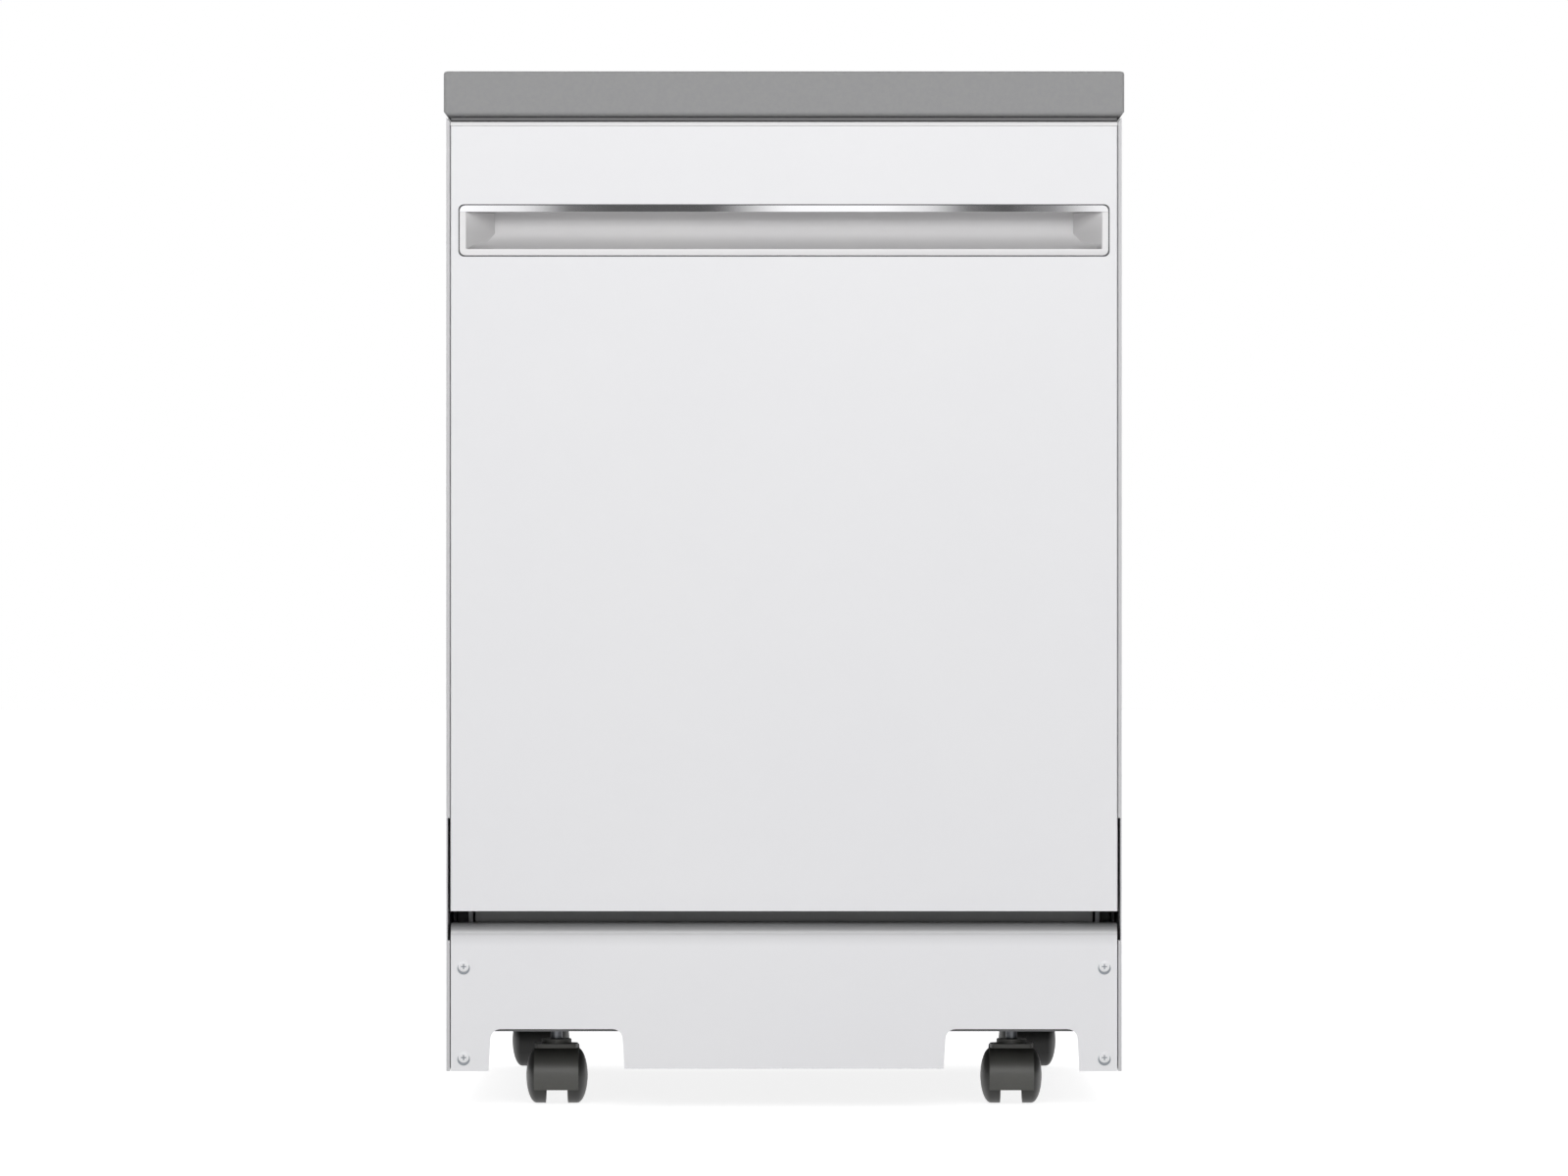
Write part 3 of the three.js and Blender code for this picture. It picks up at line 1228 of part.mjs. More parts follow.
// The control console caps the door's top edge. Its keys face up, under the worktop.
const consoleInner = doorInner - 2;
const BUTTON_LENGTH = 22;
const BUTTON_WIDTH = 10;
const buttonY = doorFace + 28;
const buttonPlaces = [
  { name: "button_power", x: -210 },
  { name: "button_cycle", x: -170 },
  { name: "button_options", x: 170 },
  { name: "button_start", x: 210 },
];
const consoleSlope = 1.4;
const consolePlateBottom = doorTop - consoleSlope - PLASTIC_WALL - 0.4;
const makeControlConsole = () => {
  const wall = PLASTIC_WALL;
  const lipBottom = doorTop - CONSOLE_LIP_HEIGHT;
  const skirt = 16;
  const face = doorFace;
  const section = outline([
    [face, lipBottom],
    [face, doorTop - 1.2],
    [face + 1.2, doorTop],
    [consoleInner - 4, doorTop - consoleSlope],
    [consoleInner, doorTop - consoleSlope - 3],
    [consoleInner, doorTop - skirt],
    [consoleInner - wall, doorTop - skirt],
    [consoleInner - wall, consolePlateBottom],
    [face + 6, consolePlateBottom],
    [face + 6, doorTop - skirt],
    [face + PANEL_SHEET + SEAT_GAP, doorTop - skirt],
    [face + PANEL_SHEET + SEAT_GAP, lipBottom],
  ]);
  const fullCap = alongX(section, -doorHalf, doorHalf);
  const insideHalf = doorHalf - PANEL_SHEET - SEAT_GAP; // below its lip it fits inside the outer panel
  const sideReliefs = [-1, 1].map((side) =>
    block(
      side * insideHalf,
      side * (doorHalf + 5),
      face - 5,
      doorInner + 5,
      doorTop - skirt - 5,
      lipBottom,
    ),
  );
  const cap = cut(fullCap, sideReliefs);
  const ends = [-1, 1].map((side) =>
    block(
      side * (insideHalf - wall),
      side * insideHalf,
      face + 4,
      consoleInner - 1,
      doorTop - skirt + 1,
      consolePlateBottom + 0.5,
    ),
  );
  const keyHoles = buttonPlaces.map(({ x }) => {
    const [halfLength, halfBreadth] = [BUTTON_LENGTH / 2, BUTTON_WIDTH / 2];
    return block(
      x - halfLength,
      x + halfLength,
      buttonY - halfBreadth,
      buttonY + halfBreadth,
      consolePlateBottom - 5,
      doorTop + 5,
    );
  });
  const slotBottom = doorTop - skirt - 5;
  const strikerSlot = block(-latchHalf, latchHalf, face + 22, doorInner + 5, slotBottom, doorTop + 5);
  return cut(join(cap, ends), keyHoles, strikerSlot);
};

// A key: its cap fills the console's hole and a wider foot under the plate keeps it in.
const makeButton = () => {
  const [halfLength, halfBreadth] = [BUTTON_LENGTH / 2 - SEAT_GAP, BUTTON_WIDTH / 2 - SEAT_GAP];
  const foot = consolePlateBottom - SEAT_GAP;
  const cap = alongZ(
    roundedOutline(-halfLength, halfLength, -halfBreadth, halfBreadth, 1.5),
    foot - 1,
    doorTop - 0.6,
    2,
  );
  const flange = block(-halfLength - 2, halfLength + 2, -halfBreadth - 2, halfBreadth + 2, foot - 3, foot);
  return join(cap, flange);
};

// The catch: an open cradle in the console's slot, in front of and below the striker.
const makeDoorLatch = () => {
  const front = doorFace + 8;
  const floorTop = linerTop - 6;
  const body = block(-26, 26, front, front + 12, floorTop - 16, doorTop - 18);
  const tongue = block(-12, 12, front + 11, front + 34, floorTop - 12, floorTop - 6);
  return join(body, tongue);
};

// The striker is a steel loop welded under the top frame's front rail.
const makeLatchStriker = () => {
  const top = topFrameBottom + 0.5;
  const bottom = linerTop + 3.5;
  const y = doorFace + 32;
  const loop = new THREE.Shape();
  loop.moveTo(-9, top);
  loop.lineTo(-9, bottom + 4);
  loop.absarc(-5, bottom + 4, 4, Math.PI, 1.5 * Math.PI);
  loop.lineTo(5, bottom);
  loop.absarc(5, bottom + 4, 4, 1.5 * Math.PI, 2 * Math.PI);
  loop.lineTo(9, top);
  loop.lineTo(5.5, top);
  loop.lineTo(5.5, bottom + 3.5);
  loop.lineTo(-5.5, bottom + 3.5);
  loop.lineTo(-5.5, top);
  const basePlate = 1;
  return join(alongY(loop, y - 1.75, y + 1.75, 2), block(-14, 14, y - 8, y + 14, top - basePlate, top));
};

// Hinges: a fixed bracket with the pin, and an arm inside the door.
const BRACKET_PLATE = 3.7;
const armInner = bracketInner + BRACKET_PLATE + 0.8;
const ARM_PLATE = 3.5;
const makeHingeBracket = (side) => {
  const reach = tubFront - hingeY;
  const underFlange = tubFlangeBottom - 1 - HINGE_HEIGHT;
  const neck = [
    [-8, -8],
    [-8, 8],
    [0, 12],
    [reach + 6, underFlange],
    [reach + 6, -60],
    [20, -40],
    [13, -12],
    [0, -12],
  ];
  const [x0, x1] = [bracketInner, bracketInner + BRACKET_PLATE];
  const plate = alongX(outline(neck.map(([y, z]) => [hingeY + y, HINGE_HEIGHT + z])), x0, x1);
  const pinEnd = armInner + ARM_PLATE + 2;
  const pin = bar("x", HINGE_PIN_RADIUS, x0 + 1, pinEnd, [hingeY, HINGE_HEIGHT], 14);
  const postBack = tubFront + 26;
  const postFront = tubFront + LINER_SHEET + SEAT_GAP;
  const postBottom = BASE_FLOOR + BASE_SHEET + SEAT_GAP;
  const postTop = HINGE_HEIGHT + underFlange - 1;
  const postOuter = innerHalf - BASE_SHEET - SEAT_GAP;
  const post = join(
    block(x0, x1, postFront - 1, postBack, postBottom, postTop),
    block(x0, postOuter, postBack - 3, postBack, postBottom, postTop),
    block(x0, postOuter, postFront, postBack, postBottom, postBottom + 3),
  );
  const bracket = join(plate, pin, post);
  return side > 0 ? bracket : mirroredX(bracket);
};

const makeHingeArm = (side) => {
  const [x0, x1] = [armInner, armInner + ARM_PLATE];
  const shape = new THREE.Shape();
  shape.absarc(hingeY, HINGE_HEIGHT, 8.5, Math.PI, 2 * Math.PI);
  shape.lineTo(hingeY + 8.5, HINGE_HEIGHT + 150);
  shape.lineTo(hingeY - 8.5, HINGE_HEIGHT + 150);
  const plate = alongX(shape, x0, x1, 4);
  const boreSides = 12;
  const boreRadius = boreRound(HINGE_PIN_RADIUS, boreSides);
  const bore = bar("x", boreRadius, x0 - 5, x1 + 5, [hingeY, HINGE_HEIGHT], boreSides);
  const foot = block(
    x0 - 16,
    x0 + 1,
    hingeY - 8.5,
    hingeY - 5.5,
    HINGE_HEIGHT + 50,
    HINGE_HEIGHT + 150,
  );
  const arm = cut(join(plate, foot), bore);
  return side > 0 ? arm : mirroredX(arm);
};

// A counterbalance spring lies in the space beside the tub, hooked between two eyes.
const makeDoorSpring = (side) => {
  const [coilRadius, coils, pitch] = [9, 7, 14];
  const start = tubFront + 60;
  const x = bracketInner + 6;
  const rise = 36;
  const profile = [[0, 0]];
  for (let i = 0; i < coils; i++) {
    profile.push([coilRadius - 2.5, i * pitch], [coilRadius, (i + 0.5) * pitch]);
  }
  profile.push([coilRadius - 2.5, coils * pitch], [0, coils * pitch]);
  const level = BASE_FLOOR + rise;
  const length = coils * pitch;
  const coil = turnedAlongY(profile, 6).translate(0, start, level);
  const postBack = tubFront + 26;
  const rod = bar("y", 2.2, postBack + SEAT_GAP, start + 2, [0, level], 6);
  const tail = bar("y", 2.2, start + length - 2, start + length + 40, [0, level], 6);
  const anchorFront = start + length + 36;
  const anchorBottom = BASE_FLOOR + BASE_SHEET + SEAT_GAP;
  const anchor = block(-5, 5, anchorFront, anchorFront + 5, anchorBottom, level + 4);
  return join(coil, rod, tail, anchor).translate(side * x, 0, 0);
};

// Detergent dispenser, with a flip-open cover and a twist cap for rinse aid.
const cupCover = { left: 94, right: 166, bottom: dispenser.bottom + 16, top: dispenser.top - 20 };
const dispenserFace = doorInner + 5;
const capX = 62;
const capZ = (dispenser.bottom + dispenser.top) / 2;
const CAP_RADIUS = 16;
const makeDetergentDispenser = () => {
  const bezel = alongY(
    roundedOutline(dispenser.left, dispenser.right, dispenser.bottom, dispenser.top, 9),
    doorInner + SEAT_GAP,
    dispenserFace,
    3,
  );
  const well = alongY(
    roundedOutline(
      dispenser.left + 7,
      dispenser.right - 7,
      dispenser.bottom + 7,
      dispenser.top - 7,
      6,
    ),
    panelBack + 6,
    doorInner + 1,
    2,
  );
  const cup = alongY(
    roundedOutline(cupCover.left + 6, cupCover.right - 6, cupCover.bottom + 6, cupCover.top - 6, 8),
    panelBack + 9,
    dispenserFace + 5,
    3,
  );
  const filler = bar("y", 11, panelBack + 9, dispenserFace + 5, [capX, capZ], 16);
  return cut(join(bezel, well), cup, filler);
};

const makeDetergentLid = () => {
  const base = dispenserFace + SEAT_GAP;
  const cover = alongY(
    roundedOutline(cupCover.left, cupCover.right, cupCover.bottom + 3, cupCover.top, 6),
    base,
    base + 4,
    3,
  );
  const pinAt = [base + 2.4, cupCover.bottom + 2.2];
  const knuckle = bar("x", 2.2, cupCover.left + 5, cupCover.right - 5, pinAt, 8);
  return join(cover, knuckle);
};

const makeRinseAidCap = () => {
  const base = dispenserFace + SEAT_GAP;
  const profile = [
    [0, base - 4],
    [10, base - 4],
    [10, base],
    [CAP_RADIUS, base],
    [CAP_RADIUS - 1, base + 4],
    [0, base + 4],
  ];
  const grip = block(-CAP_RADIUS + 4, CAP_RADIUS - 4, base + 3, base + 8, -2, 2);
  const disc = turnedAlongY(profile, 20);
  return join(disc, grip).translate(capX, 0, capZ);
};

// ---------------------------------------------------------------- assembly
const group = (...members) => {
  const made = new THREE.Group();
  made.add(...members);
  return made;
};

const sides = [
  { word: "left", side: -1 },
  { word: "right", side: 1 },
];

const cabinet = group(
  piece("worktop", makeWorktop(), "worktop"),
  piece("top_frame", join(makeTopFrame(), makeLatchStriker()), "framePaint"),
  ...sides.map(({ word, side }) => piece(`side_panel_${word}`, makeSidePanel(side), "enamel")),
  piece("rear_panel", makeRearPanel(), "zinc"),
  piece("hose_compartment", makeHoseCompartment(), "darkPlastic"),
  piece("inlet_valve", makeInletValve(), "greyPlastic"),
  piece("cord_gland", makeCordGland(), "rubber"),
  piece("base_frame", makeBaseFrame(), "framePaint"),
  piece("kick_plate", makeKickPlate(), "enamel"),
  ...sides.map(({ word, side }) => piece(`hinge_bracket_${word}`, makeHingeBracket(side), "zinc")),
  ...sides.map(({ word, side }) => piece(`door_spring_${word}`, makeDoorSpring(side), "zinc")),
);

const lowerArmLevel = towerTop + SEAT_GAP + 4;
const upperArmLevel = upperRackFloor - 34;
const lowerArm = piece(
  "lower_spray_arm",
  makeSprayArm(LOWER_ARM_RADIUS, lowerArmLevel, towerTop + 14 + SEAT_GAP, true),
  "greyPlastic",
);
lowerArm.rotation.z = 0.55;
const filterCup = piece("filter_cup", makeFilterCup(), "greyPlastic");
filterCup.position.set(cupX, cupY, 0);
const washSystem = group(
  piece("tub", makeTub(), "stainless"),
  piece("tub_gasket", makeTubGasket(), "rubber"),
  piece("sump", makeSump(), "darkPlastic"),
  piece("filter_plate", makeFilterPlate(), "stainless"),
  filterCup,
  piece("wash_pump", makeWashPump(), "darkPlastic"),
  piece("drain_pump", makeDrainPump(), "darkPlastic"),
  piece("water_feed_tube", makeWaterFeedTube(), "greyPlastic"),
  piece("heating_element", makeHeatingElement(), "zinc"),
  piece("float_cap", makeFloat(), "greyPlastic"),
  lowerArm,
);

const upperArm = piece(
  "upper_spray_arm",
  makeSprayArm(UPPER_ARM_RADIUS, upperArmLevel, armPinBottom - SEAT_GAP, false),
  "greyPlastic",
);
upperArm.position.set(0, -10, 0);
upperArm.rotation.z = -0.4;
const racks = group(
  piece("lower_rack", makeLowerRack(), "rack"),
  piece("silverware_basket", makeSilverwareBasket(), "greyPlastic"),
  piece("upper_rack", makeUpperRack(), "rack"),
  piece("upper_feed_tube", makeUpperFeedTube(), "greyPlastic"),
  upperArm,
  ...sides.map(({ word, side }) => piece(`upper_rail_${word}`, makeRail(side), "stainless")),
);

const buttonShape = makeButton();
const buttons = buttonPlaces.map(({ name, x }) => {
  const button = piece(name, buttonShape, "button");
  button.position.set(x, buttonY, 0);
  return button;
});
const door = group(
  piece("door_outer_panel", makeDoorOuterPanel(), "enamel"),
  piece("door_inner_liner", makeDoorInnerLiner(), "stainless"),
  piece("door_bottom_seal", makeDoorBottomSeal(), "rubber"),
  piece("handle_pocket", makeHandlePocket(), "whitePlastic"),
  piece("handle_trim", makeHandleTrim(), "chrome"),
  piece("control_console", makeControlConsole(), "whitePlastic"),
  piece("door_latch", makeDoorLatch(), "darkPlastic"),
  piece("detergent_dispenser", makeDetergentDispenser(), "greyPlastic"),
  piece("detergent_lid", makeDetergentLid(), "greyPlastic"),
  piece("rinse_aid_cap", makeRinseAidCap(), "greyPlastic"),
  ...sides.map(({ word, side }) => piece(`hinge_arm_${word}`, makeHingeArm(side), "zinc")),
  ...buttons,
);

const hoodShape = makeCasterHood();
const wheelShape = makeCasterWheel();
const casters = casterPlaces.map(({ name, x, y }) => {
  const hood = piece(`caster_${name}`, hoodShape, "caster");
  const wheels = sides.map(({ word, side }) => {
    const wheel = piece(`wheel_${name}_${word}`, wheelShape, "caster");
    wheel.position.set((side * WHEEL_SPACING) / 2, CASTER_TRAIL, WHEEL_RADIUS);
    wheel.rotation.z = side > 0 ? 0 : Math.PI;
    return wheel;
  });
  const caster = group(hood, ...wheels);
  caster.position.set(x, y, 0);
  return caster;
});

const dishwasher = group(cabinet, washSystem, racks, door, ...casters);

export default dishwasher;
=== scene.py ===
# %% [markdown]
# A portable dishwasher on casters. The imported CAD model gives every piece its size, its place and
# its joints. This file gives the pieces their finishes and the shapes that are too fine for CAD:
# round rack wires, coiled springs, smooth wheels, screws. Lengths are in metres and +Z is up. The
# door faces -Y.

# %% The frame
import json
import math

import bpy
from mathutils import Matrix, Vector


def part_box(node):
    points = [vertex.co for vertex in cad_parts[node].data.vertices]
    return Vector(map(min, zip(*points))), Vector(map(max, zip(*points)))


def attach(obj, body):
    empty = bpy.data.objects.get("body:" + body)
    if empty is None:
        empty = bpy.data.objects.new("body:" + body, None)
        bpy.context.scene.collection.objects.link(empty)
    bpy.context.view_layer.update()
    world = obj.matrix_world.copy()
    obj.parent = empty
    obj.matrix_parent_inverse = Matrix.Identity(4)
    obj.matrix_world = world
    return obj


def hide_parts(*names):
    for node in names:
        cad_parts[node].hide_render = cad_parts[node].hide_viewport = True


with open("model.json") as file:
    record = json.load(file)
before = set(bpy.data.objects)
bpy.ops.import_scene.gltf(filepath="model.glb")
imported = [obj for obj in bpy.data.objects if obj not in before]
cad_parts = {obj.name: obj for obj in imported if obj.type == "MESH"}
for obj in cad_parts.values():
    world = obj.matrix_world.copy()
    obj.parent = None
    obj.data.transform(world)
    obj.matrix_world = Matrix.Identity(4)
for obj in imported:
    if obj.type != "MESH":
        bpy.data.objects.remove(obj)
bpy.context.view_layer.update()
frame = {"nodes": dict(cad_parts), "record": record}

nodes = frame["nodes"]

# %% [markdown]
# The photograph is taken square on, from so far away that the sides barely show. A long lens at a
# long distance gives that: 160 mm on a 36 mm sensor, 6.2 m in front of the worktop's front edge. It
# looks level from about half the machine's height, so the worktop shows its edge but not its top.

# %% Camera
bpy.ops.object.select_all(action="DESELECT")
WORKTOP_FRONT = -0.325
CAMERA_DISTANCE = 6.2
CAMERA_HEIGHT = 0.4649
UPRIGHT = (math.radians(90), 0, 0)
camera_place = (0, WORKTOP_FRONT - CAMERA_DISTANCE, CAMERA_HEIGHT)
bpy.ops.object.camera_add(location=camera_place, rotation=UPRIGHT)
camera = bpy.context.object
camera.name = "camera"
camera.data.lens = 159.92
camera.data.sensor_width = 36
camera.data.clip_end = 60
bpy.context.scene.camera = camera
print("camera at", [round(v, 3) for v in camera.location])

# %% [markdown]
# A white studio sweep: the machine stands on a pale floor, and the room behind it renders plain
# white. The world is white to the camera, to mirrors and through glass. To everything else it is a
# soft grey fill, so the lamps decide how bright the enamel gets. The floor glows for the same three
# kinds of ray only: lit floor comes out white, and a faint shadow under the machine stays.

# %% World and floor
def set_inputs(node, values):
    """Sets a node's inputs by name."""
    for label, value in values.items():
        node.inputs[label].default_value = value


scene = bpy.context.scene
scene.view_settings.view_transform = "Standard"
world = bpy.data.worlds.new("studio")
scene.world = world
world.use_nodes = True
wn, wl = world.node_tree.nodes, world.node_tree.links
wn.clear()
WHITE = (1, 1, 1, 1)
FILL_STRENGTH = 0.36
world_out = wn.new("ShaderNodeOutputWorld")
seen_white = wn.new("ShaderNodeBackground")
set_inputs(seen_white, {"Color": WHITE})
fill_light = wn.new("ShaderNodeBackground")
set_inputs(fill_light, {"Color": (0.98, 0.98, 1, 1), "Strength": FILL_STRENGTH})


def math_node(tree, operation, a, b):
    """Adds a Math node. A number goes into its socket as it is, and anything else is linked."""
    node = tree.nodes.new("ShaderNodeMath")
    node.operation = operation
    for socket, value in zip(node.inputs, (a, b)):
        if isinstance(value, (int, float)):
            socket.default_value = value
        else:
            tree.links.new(value, socket)
    return node.outputs[0]


def seen_directly(tree):
    """Is 1 for a ray from the camera, off a mirror or through glass, and 0 for all others."""
    rays = tree.nodes.new("ShaderNodeLightPath")
    total = rays.outputs["Is Camera Ray"]
    for kind in ("Is Glossy Ray", "Is Transmission Ray"):
        total = math_node(tree, "MAXIMUM", total, rays.outputs[kind])
    return total


pick = wn.new("ShaderNodeMixShader")
wl.new(seen_directly(world.node_tree), pick.inputs["Fac"])
wl.new(fill_light.outputs[0], pick.inputs[1])
wl.new(seen_white.outputs[0], pick.inputs[2])
wl.new(pick.outputs[0], world_out.inputs["Surface"])

FLOOR_SIZE = 40
FLOOR_LEVEL = -0.0006
FLOOR_GREY = 0.6
FLOOR_GLOW = 0.84
bpy.ops.mesh.primitive_plane_add(size=FLOOR_SIZE, location=(0, 0, FLOOR_LEVEL))
floor = bpy.context.object
floor.name = "studio_floor"
floor_paint = bpy.data.materials.new("studio_floor_paint")
floor_paint.use_nodes = True
floor_tree = floor_paint.node_tree
floor_shader = floor_tree.nodes["Principled BSDF"]
set_inputs(floor_shader, {"Base Color": (FLOOR_GREY, FLOOR_GREY, FLOOR_GREY, 1), "Emission Color": WHITE})
set_inputs(floor_shader, {"Roughness": 0.9, "Specular IOR Level": 0.1})
glow = math_node(floor_tree, "MULTIPLY", seen_directly(floor_tree), FLOOR_GLOW)
floor_tree.links.new(glow, floor_shader.inputs["Emission Strength"])
floor.data.materials.append(floor_paint)
print("world and floor ready")

# %% [markdown]
# The light in the photograph is very soft and comes a little from above: the door falls from near
# white at its top to light grey at its foot. One big lamp high in front, a fill on each side and a
# weak one from behind give that fall.

# %% Lamps
def studio_lamp(name, place, aim, size, power):
    bpy.ops.object.light_add(type="AREA", location=place)
    lamp = bpy.context.object
    lamp.name = name
    lamp.data.shape = "RECTANGLE"
    lamp.data.size, lamp.data.size_y = size
    lamp.data.energy = power
    lamp.rotation_euler = (Vector(aim) - Vector(place)).to_track_quat("-Z", "Y").to_euler()
    return lamp


# Each lamp has a name, its place, the point it aims at, its width and height, and its power.
lamp_plan = [
    ("key_lamp", (0, -3.7, 1.95), (0, -0.3, 0.75), (3.4, 1.5), 71),
    ("left_fill", (-3.6, -1.2, 1.5), (0, 0, 0.5), (2.2, 2.4), 20),
    ("right_fill", (3.6, -1.2, 1.5), (0, 0, 0.5), (2.2, 2.4), 20),
    ("rear_lamp", (0, 3.2, 2.4), (0, 0.2, 0.7), (3.2, 1.8), 29),
]
lamps = [studio_lamp(*plan) for plan in lamp_plan]
print("lamps:", [lamp.name for lamp in lamps])

# %% [markdown]
# The polished lip over the handle is a flat mirror that looks straight back at the camera, so it
# shows what stands behind the camera. One card there gives it a bright field with two soft dark
# bands. The card's brightness runs along X through a colour ramp, and only mirror rays see it, so
# it neither lights the machine nor shows in the picture.

# %% Reflection card behind the camera
def fill_ramp(ramp, stops):
    """Puts (position, grey) stops on a colour ramp, which comes with two of its own."""
    elements = ramp.color_ramp.elements
    while len(elements) < len(stops):
        elements.new(0.5)
    for element, (position, grey) in zip(elements, stops):
        element.position = position
        element.color = (grey, grey, grey, 1)


CARD_WIDTH, CARD_HEIGHT = 1.5, 2.2
CARD_PLACE = (0, -7.5, 1.1)
CARD_STRENGTH = 1.29
bpy.ops.object.select_all(action="DESELECT")
bpy.ops.mesh.primitive_plane_add(size=1, location=CARD_PLACE, rotation=UPRIGHT)
card = bpy.context.object
card.name = "reflection_card"
card.scale = (CARD_WIDTH, CARD_HEIGHT, 1)
card_paint = bpy.data.materials.new("reflection_card_paint")
card_paint.use_nodes = True
cn, cl = card_paint.node_tree.nodes, card_paint.node_tree.links
cn.clear()
card_out = cn.new("ShaderNodeOutputMaterial")
card_glow = cn.new("ShaderNodeEmission")
set_inputs(card_glow, {"Strength": CARD_STRENGTH})
card_place = cn.new("ShaderNodeTexCoord")
card_split = cn.new("ShaderNodeSeparateXYZ")
card_ramp = cn.new("ShaderNodeValToRGB")
card_ramp.color_ramp.interpolation = "EASE"
# Each stop is a place along the card, from 0 at its left end, and a grey.
left_band = [(0.08, 1.0), (0.152, 0.84), (0.235, 0.13), (0.29, 0.09), (0.40, 0.09), (0.515, 0.97)]
right_band = [(0.62, 1.0), (0.67, 0.82), (0.745, 0.14), (0.785, 0.085), (0.835, 0.22), (0.91, 0.9)]
fill_ramp(card_ramp, left_band + right_band)
cl.new(card_place.outputs["Object"], card_split.inputs[0])
# Object X runs from -0.5 to 0.5 over a plane of size 1, and a ramp from 0 to 1.
card_along = math_node(card_paint.node_tree, "ADD", card_split.outputs["X"], 0.5)
cl.new(card_along, card_ramp.inputs["Fac"])
cl.new(card_ramp.outputs["Color"], card_glow.inputs["Color"])
cl.new(card_glow.outputs[0], card_out.inputs["Surface"])
card.data.materials.append(card_paint)
card.visible_camera = card.visible_diffuse = card.visible_shadow = card.visible_transmission = False
print("card:", [round(v, 2) for v in card.dimensions])

# %% [markdown]
# Every finish starts from the same small set of effects, so each effect is a node group that is
# built once: a fine grain that lifts the surface and changes its gloss a little, and a slow mottle
# that shifts the colour. The grain can be squeezed along one axis, which draws the long scratches
# of brushed steel.

# %% Shader groups
def new_group(name, inputs, outputs):
    group = bpy.data.node_groups.new(name, "ShaderNodeTree")
    for label, kind, value in inputs:
        socket = group.interface.new_socket(name=label, in_out="INPUT", socket_type=kind)
        socket.default_value = value
    for label, kind in outputs:
        group.interface.new_socket(name=label, in_out="OUTPUT", socket_type=kind)
    return group, group.nodes.new("NodeGroupInput"), group.nodes.new("NodeGroupOutput")


FLOAT, COLOR, VECTOR = "NodeSocketFloat", "NodeSocketColor", "NodeSocketVector"

grain_group, g_in, g_out = new_group(
    "fine_grain",
    [
        ("Scale", FLOAT, 900.0),
        ("Stretch", VECTOR, (1, 1, 1)),
        ("Rough Low", FLOAT, 0.3),
        ("Rough High", FLOAT, 0.4),
    ],
    [("Height", FLOAT), ("Roughness", FLOAT)],
)
place = grain_group.nodes.new("ShaderNodeTexCoord")
mapping = grain_group.nodes.new("ShaderNodeMapping")
grain_group.links.new(place.outputs["Object"], mapping.inputs["Vector"])
grain_group.links.new(g_in.outputs["Stretch"], mapping.inputs["Scale"])
noise = grain_group.nodes.new("ShaderNodeTexNoise")
set_inputs(noise, {"Detail": 3})
grain_group.links.new(mapping.outputs[0], noise.inputs["Vector"])
grain_group.links.new(g_in.outputs["Scale"], noise.inputs["Scale"])
spread = grain_group.nodes.new("ShaderNodeMapRange")
grain_group.links.new(noise.outputs["Fac"], spread.inputs["Value"])
grain_group.links.new(g_in.outputs["Rough Low"], spread.inputs["To Min"])
grain_group.links.new(g_in.outputs["Rough High"], spread.inputs["To Max"])
grain_group.links.new(noise.outputs["Fac"], g_out.inputs["Height"])
grain_group.links.new(spread.outputs["Result"], g_out.inputs["Roughness"])

MID_GREY = (0.5, 0.5, 0.5, 1)
mottle_group, m_in, m_out = new_group(
    "slow_mottle",
    [
        ("Colour", COLOR, MID_GREY),
        ("Second", COLOR, MID_GREY),
        ("Scale", FLOAT, 4.0),
        ("Sharpness", FLOAT, 0.25),
    ],
    [("Colour", COLOR)],
)
place = mottle_group.nodes.new("ShaderNodeTexCoord")
clouds = mottle_group.nodes.new("ShaderNodeTexNoise")
set_inputs(clouds, {"Detail": 5, "Roughness": 0.6})
mottle_group.links.new(place.outputs["Object"], clouds.inputs["Vector"])
mottle_group.links.new(m_in.outputs["Scale"], clouds.inputs["Scale"])
low = math_node(mottle_group, "SUBTRACT", 0.5, m_in.outputs["Sharpness"])
high = math_node(mottle_group, "ADD", 0.5, m_in.outputs["Sharpness"])
contrast = mottle_group.nodes.new("ShaderNodeMapRange")
mottle_group.links.new(clouds.outputs["Fac"], contrast.inputs["Value"])
mottle_group.links.new(low, contrast.inputs["From Min"])
mottle_group.links.new(high, contrast.inputs["From Max"])
blend = mottle_group.nodes.new("ShaderNodeMix")
blend.data_type = "RGBA"
mottle_group.links.new(contrast.outputs["Result"], blend.inputs["Factor"])
mottle_group.links.new(m_in.outputs["Colour"], blend.inputs["A"])
mottle_group.links.new(m_in.outputs["Second"], blend.inputs["B"])
mottle_group.links.new(blend.outputs["Result"], m_out.inputs["Colour"])
print("groups:", grain_group.name, mottle_group.name)

# %% [markdown]
# A finish is a Principled shader fed by those groups. Most of the surfaces here differ only in
# colour, gloss and the size of their grain, so one maker takes those as numbers: two close colours
# for the mottle, how fine the grain is and how deep, and how rough the surface is at its smoothest
# and roughest spots. A coat is a clear gloss over the colour, as on baked enamel.

# %% Finish maker
def srgb(value):
    """Turns a screen value from 0 to 255 into the linear one that a shader takes."""
    value = value / 255
    return value / 12.92 if value <= 0.04045 else ((value + 0.055) / 1.055) ** 2.4


def paint(red, green, blue):
    return (srgb(red), srgb(green), srgb(blue), 1)


def group_node(tree, group, values):
    """Places one of the shader groups in a material, with its own values."""
    node = tree.nodes.new("ShaderNodeGroup")
    node.node_tree = group
    set_inputs(node, values)
    return node


BUMP_STRENGTH = 0.5
COAT_ROUGHNESS = 0.12


